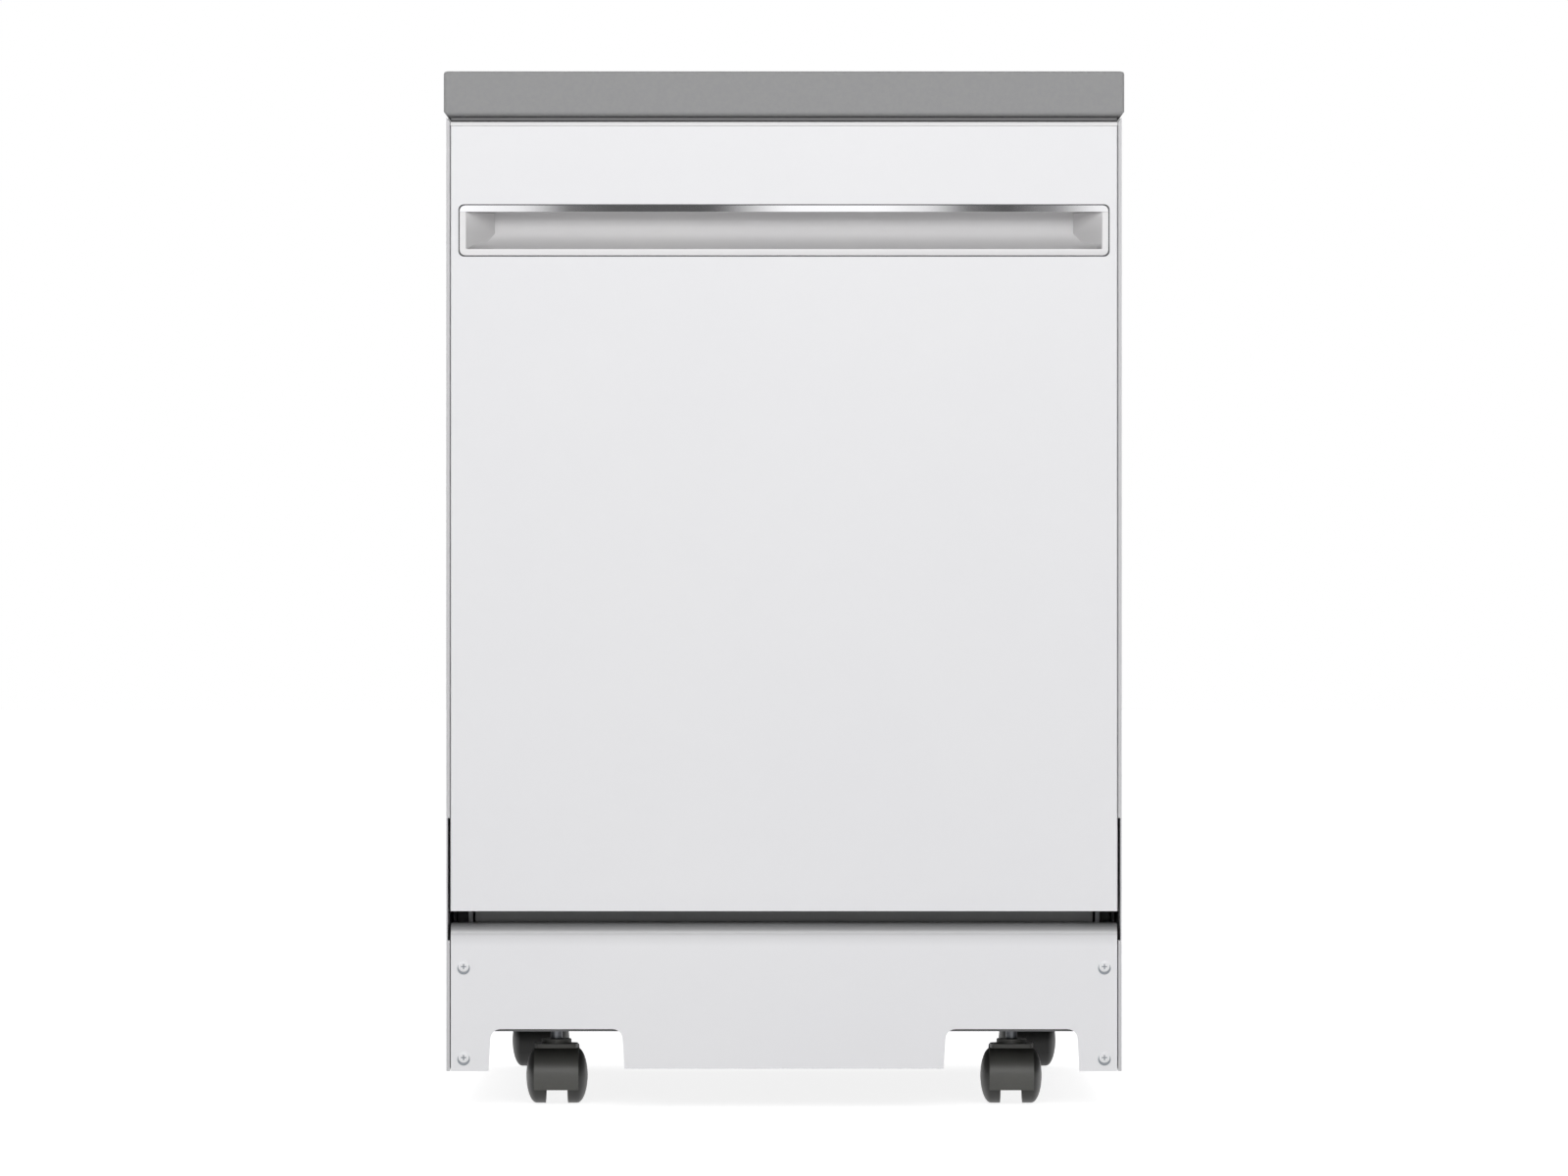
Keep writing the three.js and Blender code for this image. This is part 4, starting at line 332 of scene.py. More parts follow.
def make_finish(
    name, colour, second, grain, depth, rough,
    metallic=0.0, mottle=4.0, sharp=0.25, stretch=(1, 1, 1), coat=0.0,
):
    material = bpy.data.materials.new(name)
    material.use_nodes = True
    tree = material.node_tree
    shader = tree.nodes["Principled BSDF"]
    mottle_values = {"Colour": colour, "Second": second, "Scale": mottle, "Sharpness": sharp}
    mottled = group_node(tree, mottle_group, mottle_values)
    grain_values = {"Scale": grain, "Stretch": stretch, "Rough Low": rough[0], "Rough High": rough[1]}
    grained = group_node(tree, grain_group, grain_values)
    bump = tree.nodes.new("ShaderNodeBump")
    set_inputs(bump, {"Strength": BUMP_STRENGTH, "Distance": depth})
    tree.links.new(mottled.outputs["Colour"], shader.inputs["Base Color"])
    tree.links.new(grained.outputs["Roughness"], shader.inputs["Roughness"])
    tree.links.new(grained.outputs["Height"], bump.inputs["Height"])
    tree.links.new(bump.outputs["Normal"], shader.inputs["Normal"])
    set_inputs(shader, {"Metallic": metallic})
    if coat:
        set_inputs(shader, {"Coat Weight": coat, "Coat Roughness": COAT_ROUGHNESS})
    return material


# %% [markdown]
# The outside: baked enamel on the door, kick plate and side panels, with the faint orange peel
# that sprayed enamel keeps, a satin moulded white for the pocket and the console, and a grey
# laminate with a fine speckle for the worktop. The strip over the handle is polished almost to a
# mirror. The base frame is powder coated. The hinge brackets get a flat grey in place of their
# slot's finish, as painted shade where they show in the dark gap under the door. The casters are
# moulded nylon: grey hoods and darker wheels. The two rear casters, which stand in the dark under
# the machine, get a nearly black copy of the same nylon, as painted shade.

# %% Outside finishes
finishes = {}
finishes["white_enamel"] = make_finish(
    "white_enamel", paint(240, 240, 241), paint(237, 237, 239),
    grain=420, depth=0.00002, rough=(0.30, 0.38), mottle=2.5, coat=0.15,
)
finishes["white_plastic"] = make_finish(
    "white_plastic", paint(237, 236, 236), paint(233, 232, 233),
    grain=1500, depth=0.00002, rough=(0.38, 0.48), mottle=6,
)
finishes["worktop"] = make_finish(
    "worktop_laminate", paint(146, 146, 146), paint(143, 143, 144),
    grain=1400, depth=0.00003, rough=(0.5, 0.62), mottle=260, sharp=0.12,
)
finishes["chrome"] = make_finish(
    "polished_strip", paint(232, 232, 234), paint(226, 226, 228),
    grain=300, depth=0.000001, rough=(0.02, 0.04), metallic=1.0,
)
# Painted shade: a nearly black copy of the caster nylon for the two rear casters.
finishes["rear_caster_plastic"] = make_finish(
    "rear_caster_nylon_painted_shade", paint(30, 30, 29), paint(26, 26, 25),
    grain=1800, depth=0.00003, rough=(0.42, 0.55), mottle=40,
)
finishes["frame_paint"] = make_finish(
    "grey_powder_coat", paint(98, 98, 99), paint(92, 92, 93),
    grain=1100, depth=0.00004, rough=(0.5, 0.64), mottle=30,
)
# Painted shade: a flat grey for the hinge brackets where they show in the dark gap under the door.
finishes["bracket_paint"] = make_finish(
    "bracket_flat_grey_painted_shade", paint(178, 178, 180), paint(168, 168, 170),
    grain=1100, depth=0.00004, rough=(0.4, 0.55), mottle=30,
)
finishes["caster_plastic"] = make_finish(
    "caster_nylon", paint(86, 86, 82), paint(79, 79, 76),
    grain=1800, depth=0.00003, rough=(0.36, 0.48), mottle=40,
)
finishes["wheel_plastic"] = make_finish(
    "wheel_nylon", paint(54, 54, 52), paint(48, 48, 46),
    grain=1800, depth=0.00003, rough=(0.36, 0.48), mottle=40,
)
print("outside finishes:", sorted(finishes))

# %% [markdown]
# The inside: fine brushed stainless for the tub and the inner door, zinc-plated sheet for the
# frame, moulded plastics for what touches water, nylon-coated wire for the racks, drawn wire for the
# springs and black rubber for the seals. A mid grey stands for the shade in a joint line.

# %% Inside finishes
finishes["stainless"] = make_finish(
    "brushed_stainless", paint(206, 207, 209), paint(196, 198, 200),
    grain=90, depth=0.00001, rough=(0.26, 0.42), metallic=1.0, stretch=(1, 1, 26),
)
finishes["zinc_steel"] = make_finish(
    "zinc_plated", paint(182, 184, 188), paint(170, 172, 177),
    grain=240, depth=0.00002, rough=(0.4, 0.5), metallic=1.0, mottle=90, sharp=0.3,
)
finishes["spring_steel"] = make_finish(
    "drawn_wire", paint(120, 122, 126), paint(96, 98, 102),
    grain=600, depth=0.00001, rough=(0.3, 0.45), metallic=1.0, mottle=60,
)
finishes["black_rubber"] = make_finish(
    "seal_rubber", paint(40, 40, 41), paint(34, 34, 35),
    grain=1300, depth=0.00005, rough=(0.68, 0.85), mottle=20,
)
finishes["dark_plastic"] = make_finish(
    "dark_moulding", paint(74, 77, 80), paint(66, 69, 72),
    grain=1500, depth=0.00004, rough=(0.45, 0.6), mottle=16,
)
finishes["grey_plastic"] = make_finish(
    "grey_moulding", paint(150, 155, 160), paint(143, 148, 154),
    grain=1500, depth=0.00003, rough=(0.4, 0.52), mottle=16,
)
finishes["valve_plastic"] = make_finish(
    "natural_nylon", paint(214, 213, 204), paint(205, 203, 192),
    grain=1200, depth=0.00003, rough=(0.4, 0.5), mottle=30,
)
finishes["rack_coating"] = make_finish(
    "coated_wire", paint(196, 201, 208), paint(188, 193, 201),
    grain=900, depth=0.00002, rough=(0.34, 0.46), mottle=24,
)
finishes["joint_shade"] = make_finish(
    "joint_line_painted_shade", paint(84, 84, 86), paint(76, 76, 78),
    grain=1800, depth=0.00002, rough=(0.6, 0.8), mottle=90,
)
finishes["button_plastic"] = make_finish(
    "key_plastic", paint(208, 210, 213), paint(202, 204, 208),
    grain=1500, depth=0.00002, rough=(0.36, 0.46), mottle=30,
)
print("all finishes:", sorted(finishes))

# %% [markdown]
# Some places on the front are deep enough to lose light: the scoop behind the handle with the ramps
# at its ends, and the rolled top of the kick plate under the door's edge. A soft studio light fills
# such hollows more than the photograph's does, so their finishes darken there. One group says where
# a point lies between two heights in Z and between two depths in Y, each as a number from 0 to 1.

# %% Place in a hollow
hollow_group, h_in, h_out = new_group(
    "place_in_hollow",
    [
        ("Low", FLOAT, 0.0),
        ("High", FLOAT, 1.0),
        ("Depth Start", FLOAT, -1.0),
        ("Depth End", FLOAT, 0.0),
    ],
    [("Height", FLOAT), ("Depth", FLOAT)],
)
place = hollow_group.nodes.new("ShaderNodeTexCoord")
split = hollow_group.nodes.new("ShaderNodeSeparateXYZ")
hollow_group.links.new(place.outputs["Object"], split.inputs[0])
hollow_axes = (("Z", "Low", "High", "Height"), ("Y", "Depth Start", "Depth End", "Depth"))
for axis, start, end, output in hollow_axes:
    along = hollow_group.nodes.new("ShaderNodeMapRange")
    hollow_group.links.new(split.outputs[axis], along.inputs["Value"])
    hollow_group.links.new(h_in.outputs[start], along.inputs["From Min"])
    hollow_group.links.new(h_in.outputs[end], along.inputs["From Max"])
    hollow_group.links.new(along.outputs["Result"], h_out.inputs[output])
print("group:", hollow_group.name)

# %% [markdown]
# A shaded finish is a copy of a plain one with painted shade. A ramp turns the height into a tone,
# which is multiplied over the colour, and the depth says how much of that tone holds. The side
# panels' folded hems use it the other way round: their tone holds at the very front and fades
# towards the back, as painted shade on the rounded front edge that turns away from the light.

# %% Finishes that darken in a hollow
def shaded_finish(name, base, levels, depth_start, depth_end):
    material = finishes[base].copy()
    material.name = name
    tree = material.node_tree
    shader = tree.nodes["Principled BSDF"]
    colour = shader.inputs["Base Color"].links[0].from_socket
    low, high = levels[0][0], levels[-1][0]
    limits = {"Low": low, "High": high, "Depth Start": depth_start, "Depth End": depth_end}
    place = group_node(tree, hollow_group, limits)
    ramp = tree.nodes.new("ShaderNodeValToRGB")
    fill_ramp(ramp, [((level - low) / (high - low), tone) for level, tone in levels])
    tree.links.new(place.outputs["Height"], ramp.inputs["Fac"])
    darkened = tree.nodes.new("ShaderNodeMix")
    darkened.data_type = "RGBA"
    darkened.blend_type = "MULTIPLY"
    tree.links.new(place.outputs["Depth"], darkened.inputs["Factor"])
    tree.links.new(colour, darkened.inputs["A"])
    tree.links.new(ramp.outputs["Color"], darkened.inputs["B"])
    tree.links.new(darkened.outputs["Result"], shader.inputs["Base Color"])
    return material


# Each level is a height in metres and the tone of painted shade there.
# Painted shade in the scoop: darker at its foot and under the lip, lightest in the middle.
pocket_shade_levels = [(0.7645, 0.6), (0.770, 0.66), (0.7787, 0.8), (0.7875, 1.0), (0.793, 1.0), (0.7985, 0.86)]
# Painted shade on the kick plate's rolled top and the sheet behind it, under the door's edge.
kick_shade_levels = [(0.146, 1.0), (0.151, 0.93), (0.155, 0.84), (0.1575, 0.6)]
kick_shade_levels += [(0.161, 0.31), (0.1655, 0.2), (0.184, 0.5)]
# Painted shade on the ramps at the pocket's ends, darkest low down.
ramp_shade_levels = [(0.7645, 0.64), (0.782, 0.66), (0.793, 0.78), (0.800, 0.95)]
# Painted shade on the side panels' rounded front hems.
hem_shade_levels = [(0.034, 0.7), (0.884, 0.7)]
# The depth in Y just in front of the door's and the kick plate's faces.
BEFORE_FRONT = -0.3236
pocket_painted_shade = shaded_finish("pocket_plastic_painted_shade", "white_plastic", pocket_shade_levels, BEFORE_FRONT, -0.3215)
kick_painted_shade = shaded_finish("kick_enamel_painted_shade", "white_enamel", kick_shade_levels, BEFORE_FRONT, -0.3234)
ramp_painted_shade = shaded_finish("pocket_end_plastic_painted_shade", "white_plastic", ramp_shade_levels, BEFORE_FRONT, -0.3226)
hem_painted_shade = shaded_finish("side_hem_enamel_painted_shade", "white_enamel", hem_shade_levels, -0.3205, -0.3226)
shaded = (pocket_painted_shade, kick_painted_shade, ramp_painted_shade, hem_painted_shade)
print("shaded finishes:", [material.name for material in shaded])

# %% [markdown]
# Each CAD piece already names its finish slot in the record. One loop gives every piece the
# procedural finish of its slot, so no piece is left with the plain colour it was packed with. A few
# pieces then get a finish of their own, which differs from their slot's by painted shade: the
# pocket, the kick plate, the side panels and the hinge brackets.

# %% Finishes on the CAD pieces
slot_of = {entry["node"]: entry["material_slot"] for entry in frame["record"]["subparts"]}
for name, node in nodes.items():
    node.data.materials.clear()
    node.data.materials.append(finishes[slot_of[name]])
nodes["handle_pocket"].data.materials[0] = pocket_painted_shade
nodes["kick_plate"].data.materials[0] = kick_painted_shade
# The hinge brackets take their flat grey with painted shade, and the side panels the hems.
for side in ("left", "right"):
    nodes[f"hinge_bracket_{side}"].data.materials[0] = finishes["bracket_paint"]
    nodes[f"side_panel_{side}"].data.materials[0] = hem_painted_shade
print("finished nodes:", len(nodes))

# %% [markdown]
# CAD pieces arrive as loose triangles with flat facets. Where a piece is curved or its edges catch
# light, a copy is merged into one skin, its flat facets are dissolved, its edges are rounded where
# that shows, and it is shaded smooth. A Weighted Normal modifier then lets the largest face round
# each corner lead the shading, so that a flat sheet stays flat right up to its curves. The copy
# stands for the CAD piece.

# %% Helper for eased copies
def select_only(obj):
    bpy.ops.object.select_all(action="DESELECT")
    obj.select_set(True)
    bpy.context.view_layer.objects.active = obj


def apply_all(obj):
    select_only(obj)
    for modifier in list(obj.modifiers):
        bpy.ops.object.modifier_apply(modifier=modifier.name)


def edit_all(obj):
    """Opens a piece in edit mode with everything selected."""
    select_only(obj)
    bpy.ops.object.mode_set(mode="EDIT")
    bpy.ops.mesh.select_all(action="SELECT")


def round_edges(obj, width, segments, angle):
    """Bevels every edge that turns by more than the angle, in degrees."""
    easing = obj.modifiers.new("easing", "BEVEL")
    easing.width = width
    easing.segments = segments
    easing.limit_method = "ANGLE"
    easing.angle_limit = math.radians(angle)
    apply_all(obj)


def smooth_shading(obj, angle):
    select_only(obj)
    bpy.ops.object.shade_smooth_by_angle(angle=math.radians(angle))


HAIR = 0.000001
MERGE_DISTANCE = 2 * HAIR
FLAT_ANGLE = 0.6


def eased_copy(node_name, body, edge, smooth):
    original = nodes[node_name]
    piece = original.copy()
    piece.data = original.data.copy()
    piece.name = node_name + "_skin"
    piece.parent = None
    for key in list(piece.keys()):
        del piece[key]
    bpy.context.scene.collection.objects.link(piece)
    edit_all(piece)
    bpy.ops.mesh.remove_doubles(threshold=MERGE_DISTANCE)
    bpy.ops.mesh.dissolve_limited(angle_limit=math.radians(FLAT_ANGLE))
    bpy.ops.mesh.select_all(action="SELECT")
    bpy.ops.mesh.normals_make_consistent(inside=False)
    bpy.ops.object.mode_set(mode="OBJECT")
    if edge:
        round_edges(piece, edge, 2, 30)
    smooth_shading(piece, smooth)
    flat_faces = piece.modifiers.new("flat_faces", "WEIGHTED_NORMAL")
    flat_faces.keep_sharp = True
    flat_faces.weight = 100
    apply_all(piece)
    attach(piece, body)
    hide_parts(node_name)
    return piece


# %% [markdown]
# Thirty CAD pieces get such a skin. The big pieces already have their radii from CAD and only need
# the smooth shading. Small mouldings, such as the spray arms, the lids and the caster hoods, have
# no knife edges on the real machine, so theirs are also eased by about a millimetre or less.

# %% Eased pieces
# Each line has a node, the body it rides with, how far its edges are eased, and the angle in
# degrees up to which it is shaded smooth.
eased = [
    ("worktop", "cabinet", 0.0, 60),
    ("door_outer_panel", "door", 0.0, 50),
    ("kick_plate", "cabinet", 0.0, 50),
    ("side_panel_left", "cabinet", 0.0, 30),
    ("side_panel_right", "cabinet", 0.0, 30),
    ("handle_pocket", "door", 0.0, 50),
    ("handle_trim", "door", 0.0, 40),
    ("control_console", "door", 0.0, 30),
    ("tub", "cabinet", 0.0, 50),
    ("tub_gasket", "cabinet", 0.0, 50),
    ("door_inner_liner", "door", 0.0, 50),
    ("detergent_dispenser", "door", 0.0, 40),
    ("sump", "cabinet", 0.0, 40),
    ("water_feed_tube", "cabinet", 0.0, 50),
    ("heating_element", "cabinet", 0.0, 60),
    ("wash_pump", "cabinet", 0.0, 40),
    ("drain_pump", "cabinet", 0.0, 40),
    ("hose_compartment", "cabinet", 0.0, 40),
    ("lower_spray_arm", "lower_spray_arm", 0.0012, 50),
    ("upper_spray_arm", "upper_spray_arm", 0.0012, 50),
    ("filter_cup", "filter_cup", 0.0, 40),
    ("float_cap", "float_cap", 0.0, 40),
    ("rinse_aid_cap", "rinse_aid_cap", 0.0004, 40),
    ("detergent_lid", "detergent_lid", 0.0006, 40),
    ("inlet_valve", "cabinet", 0.0, 40),
    ("cord_gland", "cabinet", 0.0, 40),
    ("caster_front_left", "caster_front_left", 0.0005, 45),
    ("caster_front_right", "caster_front_right", 0.0005, 45),
    ("caster_rear_left", "caster_rear_left", 0.0005, 45),
    ("caster_rear_right", "caster_rear_right", 0.0005, 45),
]
for node_name, body, edge, smooth in eased:
    eased_copy(node_name, body, edge, smooth)
# The rear caster hoods take the nearly black copy of the nylon, as painted shade.
for skin_name in ("caster_rear_left_skin", "caster_rear_right_skin"):
    bpy.data.objects[skin_name].data.materials[0] = finishes["rear_caster_plastic"]
print("eased pieces:", len(eased))

# %% [markdown]
# The kick plate is held by four pan-head screws, two at each end, painted white with it. A short
# cylinder with a rounded rim makes the head. The cross is cut with a boolean, because a real
# driver recess has straight walls that an inset can't give. Each head sits on a thin grey disc,
# a little wider and a little low, which is painted shade round the foot of the head.

# %% One screw, copied
def settle(obj):
    """Moves an object's place, turn and scale into its mesh."""
    select_only(obj)
    bpy.ops.object.transform_apply(location=True, rotation=True, scale=True)
    return obj


def recalculate(obj):
    """Merges doubles and turns every face outwards."""
    edit_all(obj)
    bpy.ops.mesh.remove_doubles(threshold=HAIR)
    bpy.ops.mesh.normals_make_consistent(inside=False)
    bpy.ops.object.mode_set(mode="OBJECT")
    return obj


def upright_disc(sides, radius, height):
    """A cylinder that stands on the origin."""
    bpy.ops.object.select_all(action="DESELECT")
    middle = (0, 0, height / 2)
    bpy.ops.mesh.primitive_cylinder_add(vertices=sides, radius=radius, depth=height, location=middle)
    return bpy.context.object


def dress(obj, finish, angle):
    """Gives a piece its one finish and shades it smooth up to the angle, in degrees."""
    obj.data.materials.clear()
    obj.data.materials.append(finish)
    smooth_shading(obj, angle)


def make_screw(radius, height, finish):
    head = upright_disc(32, radius, height)
    round_edges(head, height * 0.6, 4, 60)
    for turn in (0, 90):
        bpy.ops.mesh.primitive_cube_add(size=1, location=(0, 0, height))
        slot_tool = bpy.context.object
        slot_tool.rotation_euler.z = math.radians(turn)
        slot_tool.scale = (radius * 0.95, radius * 0.2, height * 0.9)
        recess = head.modifiers.new("recess", "BOOLEAN")
        recess.operation = "DIFFERENCE"
        recess.object = slot_tool
        apply_all(head)
        bpy.data.objects.remove(slot_tool)
    dress(head, finish, 35)
    return head


def placed_copy(model, name, matrix, body):
    piece = model.copy()
    piece.data = model.data.copy()
    piece.name = name
    bpy.context.scene.collection.objects.link(piece)
    piece.data.transform(matrix)
    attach(piece, body)
    return piece


FACE_FRONT = Matrix.Rotation(math.radians(90), 4, "X")
FACE_BACK = Matrix.Rotation(math.radians(-90), 4, "X")
KICK_FACE = -0.3229
KICK_SCREW_OUT = 0.2853
KICK_SCREW_LEVELS = (("upper", 0.1265), ("lower", 0.0455))
SHADE_DISC_HEIGHT = 0.0004
SHADE_DISC_DROP = 0.0002
kick_screw = make_screw(radius=0.0049, height=0.0026, finish=finishes["white_enamel"])
# A thin grey disc under each head, as painted shade.
screw_shade_disc = upright_disc(sides=32, radius=0.0056, height=SHADE_DISC_HEIGHT)
screw_shade_disc.location.y = -SHADE_DISC_DROP
settle(screw_shade_disc)
round_edges(screw_shade_disc, 0.0001, 1, 30)
screw_shade_disc.data.materials.append(finishes["grey_plastic"])
for side, x in (("left", -KICK_SCREW_OUT), ("right", KICK_SCREW_OUT)):
    for level, z in KICK_SCREW_LEVELS:
        where = Matrix.Translation((x, KICK_FACE, z)) @ FACE_FRONT
        placed_copy(kick_screw, f"kick_screw_{side}_{level}", where, "cabinet")
        placed_copy(screw_shade_disc, f"kick_screw_seat_{side}_{level}", where, "cabinet")
bpy.data.objects.remove(kick_screw)
bpy.data.objects.remove(screw_shade_disc)
print("kick plate screws: 4")

# %% [markdown]
# The racks are round wires welded where they cross. A box of the rack's size, with rounded bottom
# edges and corners, is cut by one plane for each wire. The cut lines are the wires' centre lines,
# bends included. Everything else is deleted, and the lines are turned into round wire.

# %% Wires cut from a box
ALONG_X, ALONG_Y, ALONG_Z = Vector((1, 0, 0)), Vector((0, 1, 0)), Vector((0, 0, 1))


def cuts(axis, places):
    """Planes square to an axis, each as a point on it and its normal."""
    return [(axis * place, axis) for place in places]


def cut_wires(name, low, high, bend, planes, radius):
    """Cuts a rounded box with planes, and keeps only the cut lines, as wire."""
    size = Vector(high) - Vector(low)
    middle = (Vector(high) + Vector(low)) / 2
    bpy.ops.object.select_all(action="DESELECT")
    bpy.ops.mesh.primitive_cube_add(size=1, location=middle)
    form = bpy.context.object
    form.name = name
    form.scale = size
    settle(form)
    rounding = form.modifiers.new("bends", "BEVEL")
    rounding.width = bend
    rounding.segments = 4
    rounding.limit_method = "NONE"
    apply_all(form)
    bpy.ops.object.mode_set(mode="EDIT")
    for point, normal in planes:
        bpy.ops.mesh.select_all(action="SELECT")
        bpy.ops.mesh.bisect(plane_co=point, plane_no=normal)
        bpy.ops.mesh.mark_seam()
    bpy.ops.mesh.select_all(action="SELECT")
    bpy.ops.mesh.delete(type="ONLY_FACE")
    bpy.ops.mesh.select_mode(type="EDGE")
    bpy.ops.mesh.select_all(action="DESELECT")
    bpy.ops.object.mode_set(mode="OBJECT")
    wires_end = high[2] - bend + HAIR
    for edge in form.data.edges:
        ends = [form.data.vertices[i].co for i in edge.vertices]
        edge.select = not edge.use_seam or max(end.z for end in ends) > wires_end
    bpy.ops.object.mode_set(mode="EDIT")
    bpy.ops.mesh.delete(type="EDGE")
    bpy.ops.object.mode_set(mode="OBJECT")
    bpy.ops.object.convert(target="CURVE")
    form = bpy.context.object
    form.data.bevel_depth = radius
    form.data.bevel_resolution = 2
    form.data.use_fill_caps = True
    bpy.ops.object.convert(target="MESH")
    return bpy.context.object


def evenly(start, end, count):
    return [start + (end - start) * i / (count - 1) for i in range(count)]


# %% [markdown]
# Each rack has three sets of wires: the ones across, which run down one side, along the floor and
# up the other; the ones front to back, lying on those; and thicker rings around the outside. The
# box that they are cut from is taller than the rack, so that its rounded top can be left off.

# %% Rack baskets
def joined(name, pieces):
    bpy.ops.object.select_all(action="DESELECT")
    for piece in pieces:
        piece.select_set(True)
    bpy.context.view_layer.objects.active = pieces[0]
    bpy.ops.object.join()
    whole = bpy.context.object
    whole.name = name
    whole.data.name = name
    return whole


WIRE = 0.0015
HEAVY_WIRE = 0.0021
RACK_BEND = 0.022
FIRST_WIRE = 0.026
SPARE_HEIGHT = 0.002


def make_rack_basket(name, half, front, back, floor, rim, rings, across, along):
    top = rim - HEAVY_WIRE
    box_top = top + RACK_BEND + SPARE_HEIGHT
    low = (-half + WIRE, front + WIRE, floor + WIRE)
    high = (half - WIRE, back - WIRE, box_top)
    places = evenly(front + FIRST_WIRE, back - FIRST_WIRE, across)
    planes = cuts(ALONG_Y, places) + cuts(ALONG_Z, [top])
    crosswise = cut_wires(name + "_across", low, high, RACK_BEND, planes, WIRE)
    lifted = (low[0], low[1], low[2] + WIRE)
    planes = cuts(ALONG_X, evenly(-half + FIRST_WIRE, half - FIRST_WIRE, along))
    lengthwise = cut_wires(name + "_along", lifted, high, RACK_BEND, planes, WIRE)
    low = (-half + HEAVY_WIRE, front + HEAVY_WIRE, floor + HEAVY_WIRE)
    high = (half - HEAVY_WIRE, back - HEAVY_WIRE, box_top)
    planes = cuts(ALONG_Z, rings + [top])
    hoops = cut_wires(name + "_rings", low, high, RACK_BEND, planes, HEAVY_WIRE)
    return joined(name, [crosswise, lengthwise, hoops])


lower_basket = make_rack_basket(
    "lower_wires", half=0.262, front=-0.252, back=0.235, floor=0.268, rim=0.420,
    rings=[0.302, 0.344, 0.382], across=14, along=13,
)
upper_basket = make_rack_basket(
    "upper_wires", half=0.250, front=-0.250, back=0.235, floor=0.560, rim=0.690,
    rings=[0.600, 0.645], across=14, along=12,
)
print("basket faces:", [len(wires.data.polygons) for wires in (lower_basket, upper_basket)])

# %% [markdown]
# Plates stand between rows of upright tines. One tine is a length of wire with its ends eased, so a
# thin cylinder with a bevel makes it. It is modelled once and copied along the floor wires.

# %% Tines
def make_tine(height, radius):
    tine = upright_disc(8, radius, height)
    round_edges(tine, radius * 0.8, 2, 60)
    return tine


def copies_of(model, places):
    made = []
    for place in places:
        piece = model.copy()
        piece.data = model.data.copy()
        bpy.context.scene.collection.objects.link(piece)
        piece.data.transform(Matrix.Translation(place))
        made.append(piece)
    bpy.data.objects.remove(model)
    return made


TINE_DEPTHS = evenly(-0.205, 0.19, 14)
LOWER_TINE_ROWS = (-0.212, -0.1696, -0.1272, -0.0848, -0.0424)
UPPER_TINE_ROWS = (-0.1224, 0.1224)
LOWER_TINE_FOOT, UPPER_TINE_FOOT = 0.2705, 0.5625
lower_spots = [(x, y, LOWER_TINE_FOOT) for x in LOWER_TINE_ROWS for y in TINE_DEPTHS]
upper_spots = [(x, y, UPPER_TINE_FOOT) for x in UPPER_TINE_ROWS for y in TINE_DEPTHS]
lower_tines = copies_of(make_tine(height=0.066, radius=0.0015), lower_spots)
upper_tines = copies_of(make_tine(height=0.058, radius=0.0014), upper_spots)
print("tines:", len(lower_tines), "and", len(upper_tines))

# %% [markdown]
# The lower rack rolls on four wheels that are clipped to its wires, and the upper one hangs by
# rollers in the rails. Both are small plastic wheels with a rim, a thin web and a hub: a cylinder
# whose two faces are inset and pushed in, and then inset and pulled out again.

# %% Rack wheels
def pick_faces(obj, wanted):
    """Leaves the object in edit mode with only the wanted faces selected."""
    select_only(obj)
    bpy.ops.object.mode_set(mode="EDIT")
    bpy.ops.mesh.select_mode(type="FACE")
    bpy.ops.mesh.select_all(action="DESELECT")
    bpy.ops.object.mode_set(mode="OBJECT")
    for face in obj.data.polygons:
        face.select = wanted(face)
    bpy.ops.object.mode_set(mode="EDIT")


def pick_end_face(obj, direction):
    """Picks the largest of the faces that lie furthest out in a direction."""
    facing = [face for face in obj.data.polygons if face.normal.dot(direction) > 0.9]
    furthest = max(face.center.dot(direction) for face in facing)
    ends = [face for face in facing if face.center.dot(direction) > furthest - HAIR]
    end = max(ends, key=lambda face: face.area).index
    pick_faces(obj, lambda face: face.index == end)


def step_end_face(obj, direction, steps):
    """Insets the end face and moves what is left in or out, once for each (inwards, outwards)."""
    pick_end_face(obj, direction)
    for inwards, outwards in steps:
        bpy.ops.mesh.inset(thickness=inwards, depth=0)
        bpy.ops.mesh.extrude_region_move(TRANSFORM_OT_translate={"value": direction * outwards})
    bpy.ops.object.mode_set(mode="OBJECT")


ACROSS = (0, math.radians(90), 0)


def make_rack_wheel(radius, width):
    bpy.ops.object.select_all(action="DESELECT")
    bpy.ops.mesh.primitive_cylinder_add(vertices=32, radius=radius, depth=width, rotation=ACROSS)
    wheel = settle(bpy.context.object)
    rim, web_drop = radius * 0.2, width * 0.22
    web, hub_rise = radius * 0.38, width * 0.2
    for direction in (ALONG_X, -ALONG_X):
        step_end_face(wheel, direction, [(rim, -web_drop), (web, hub_rise)])
    round_edges(wheel, 0.0006, 2, 50)
    return recalculate(wheel)


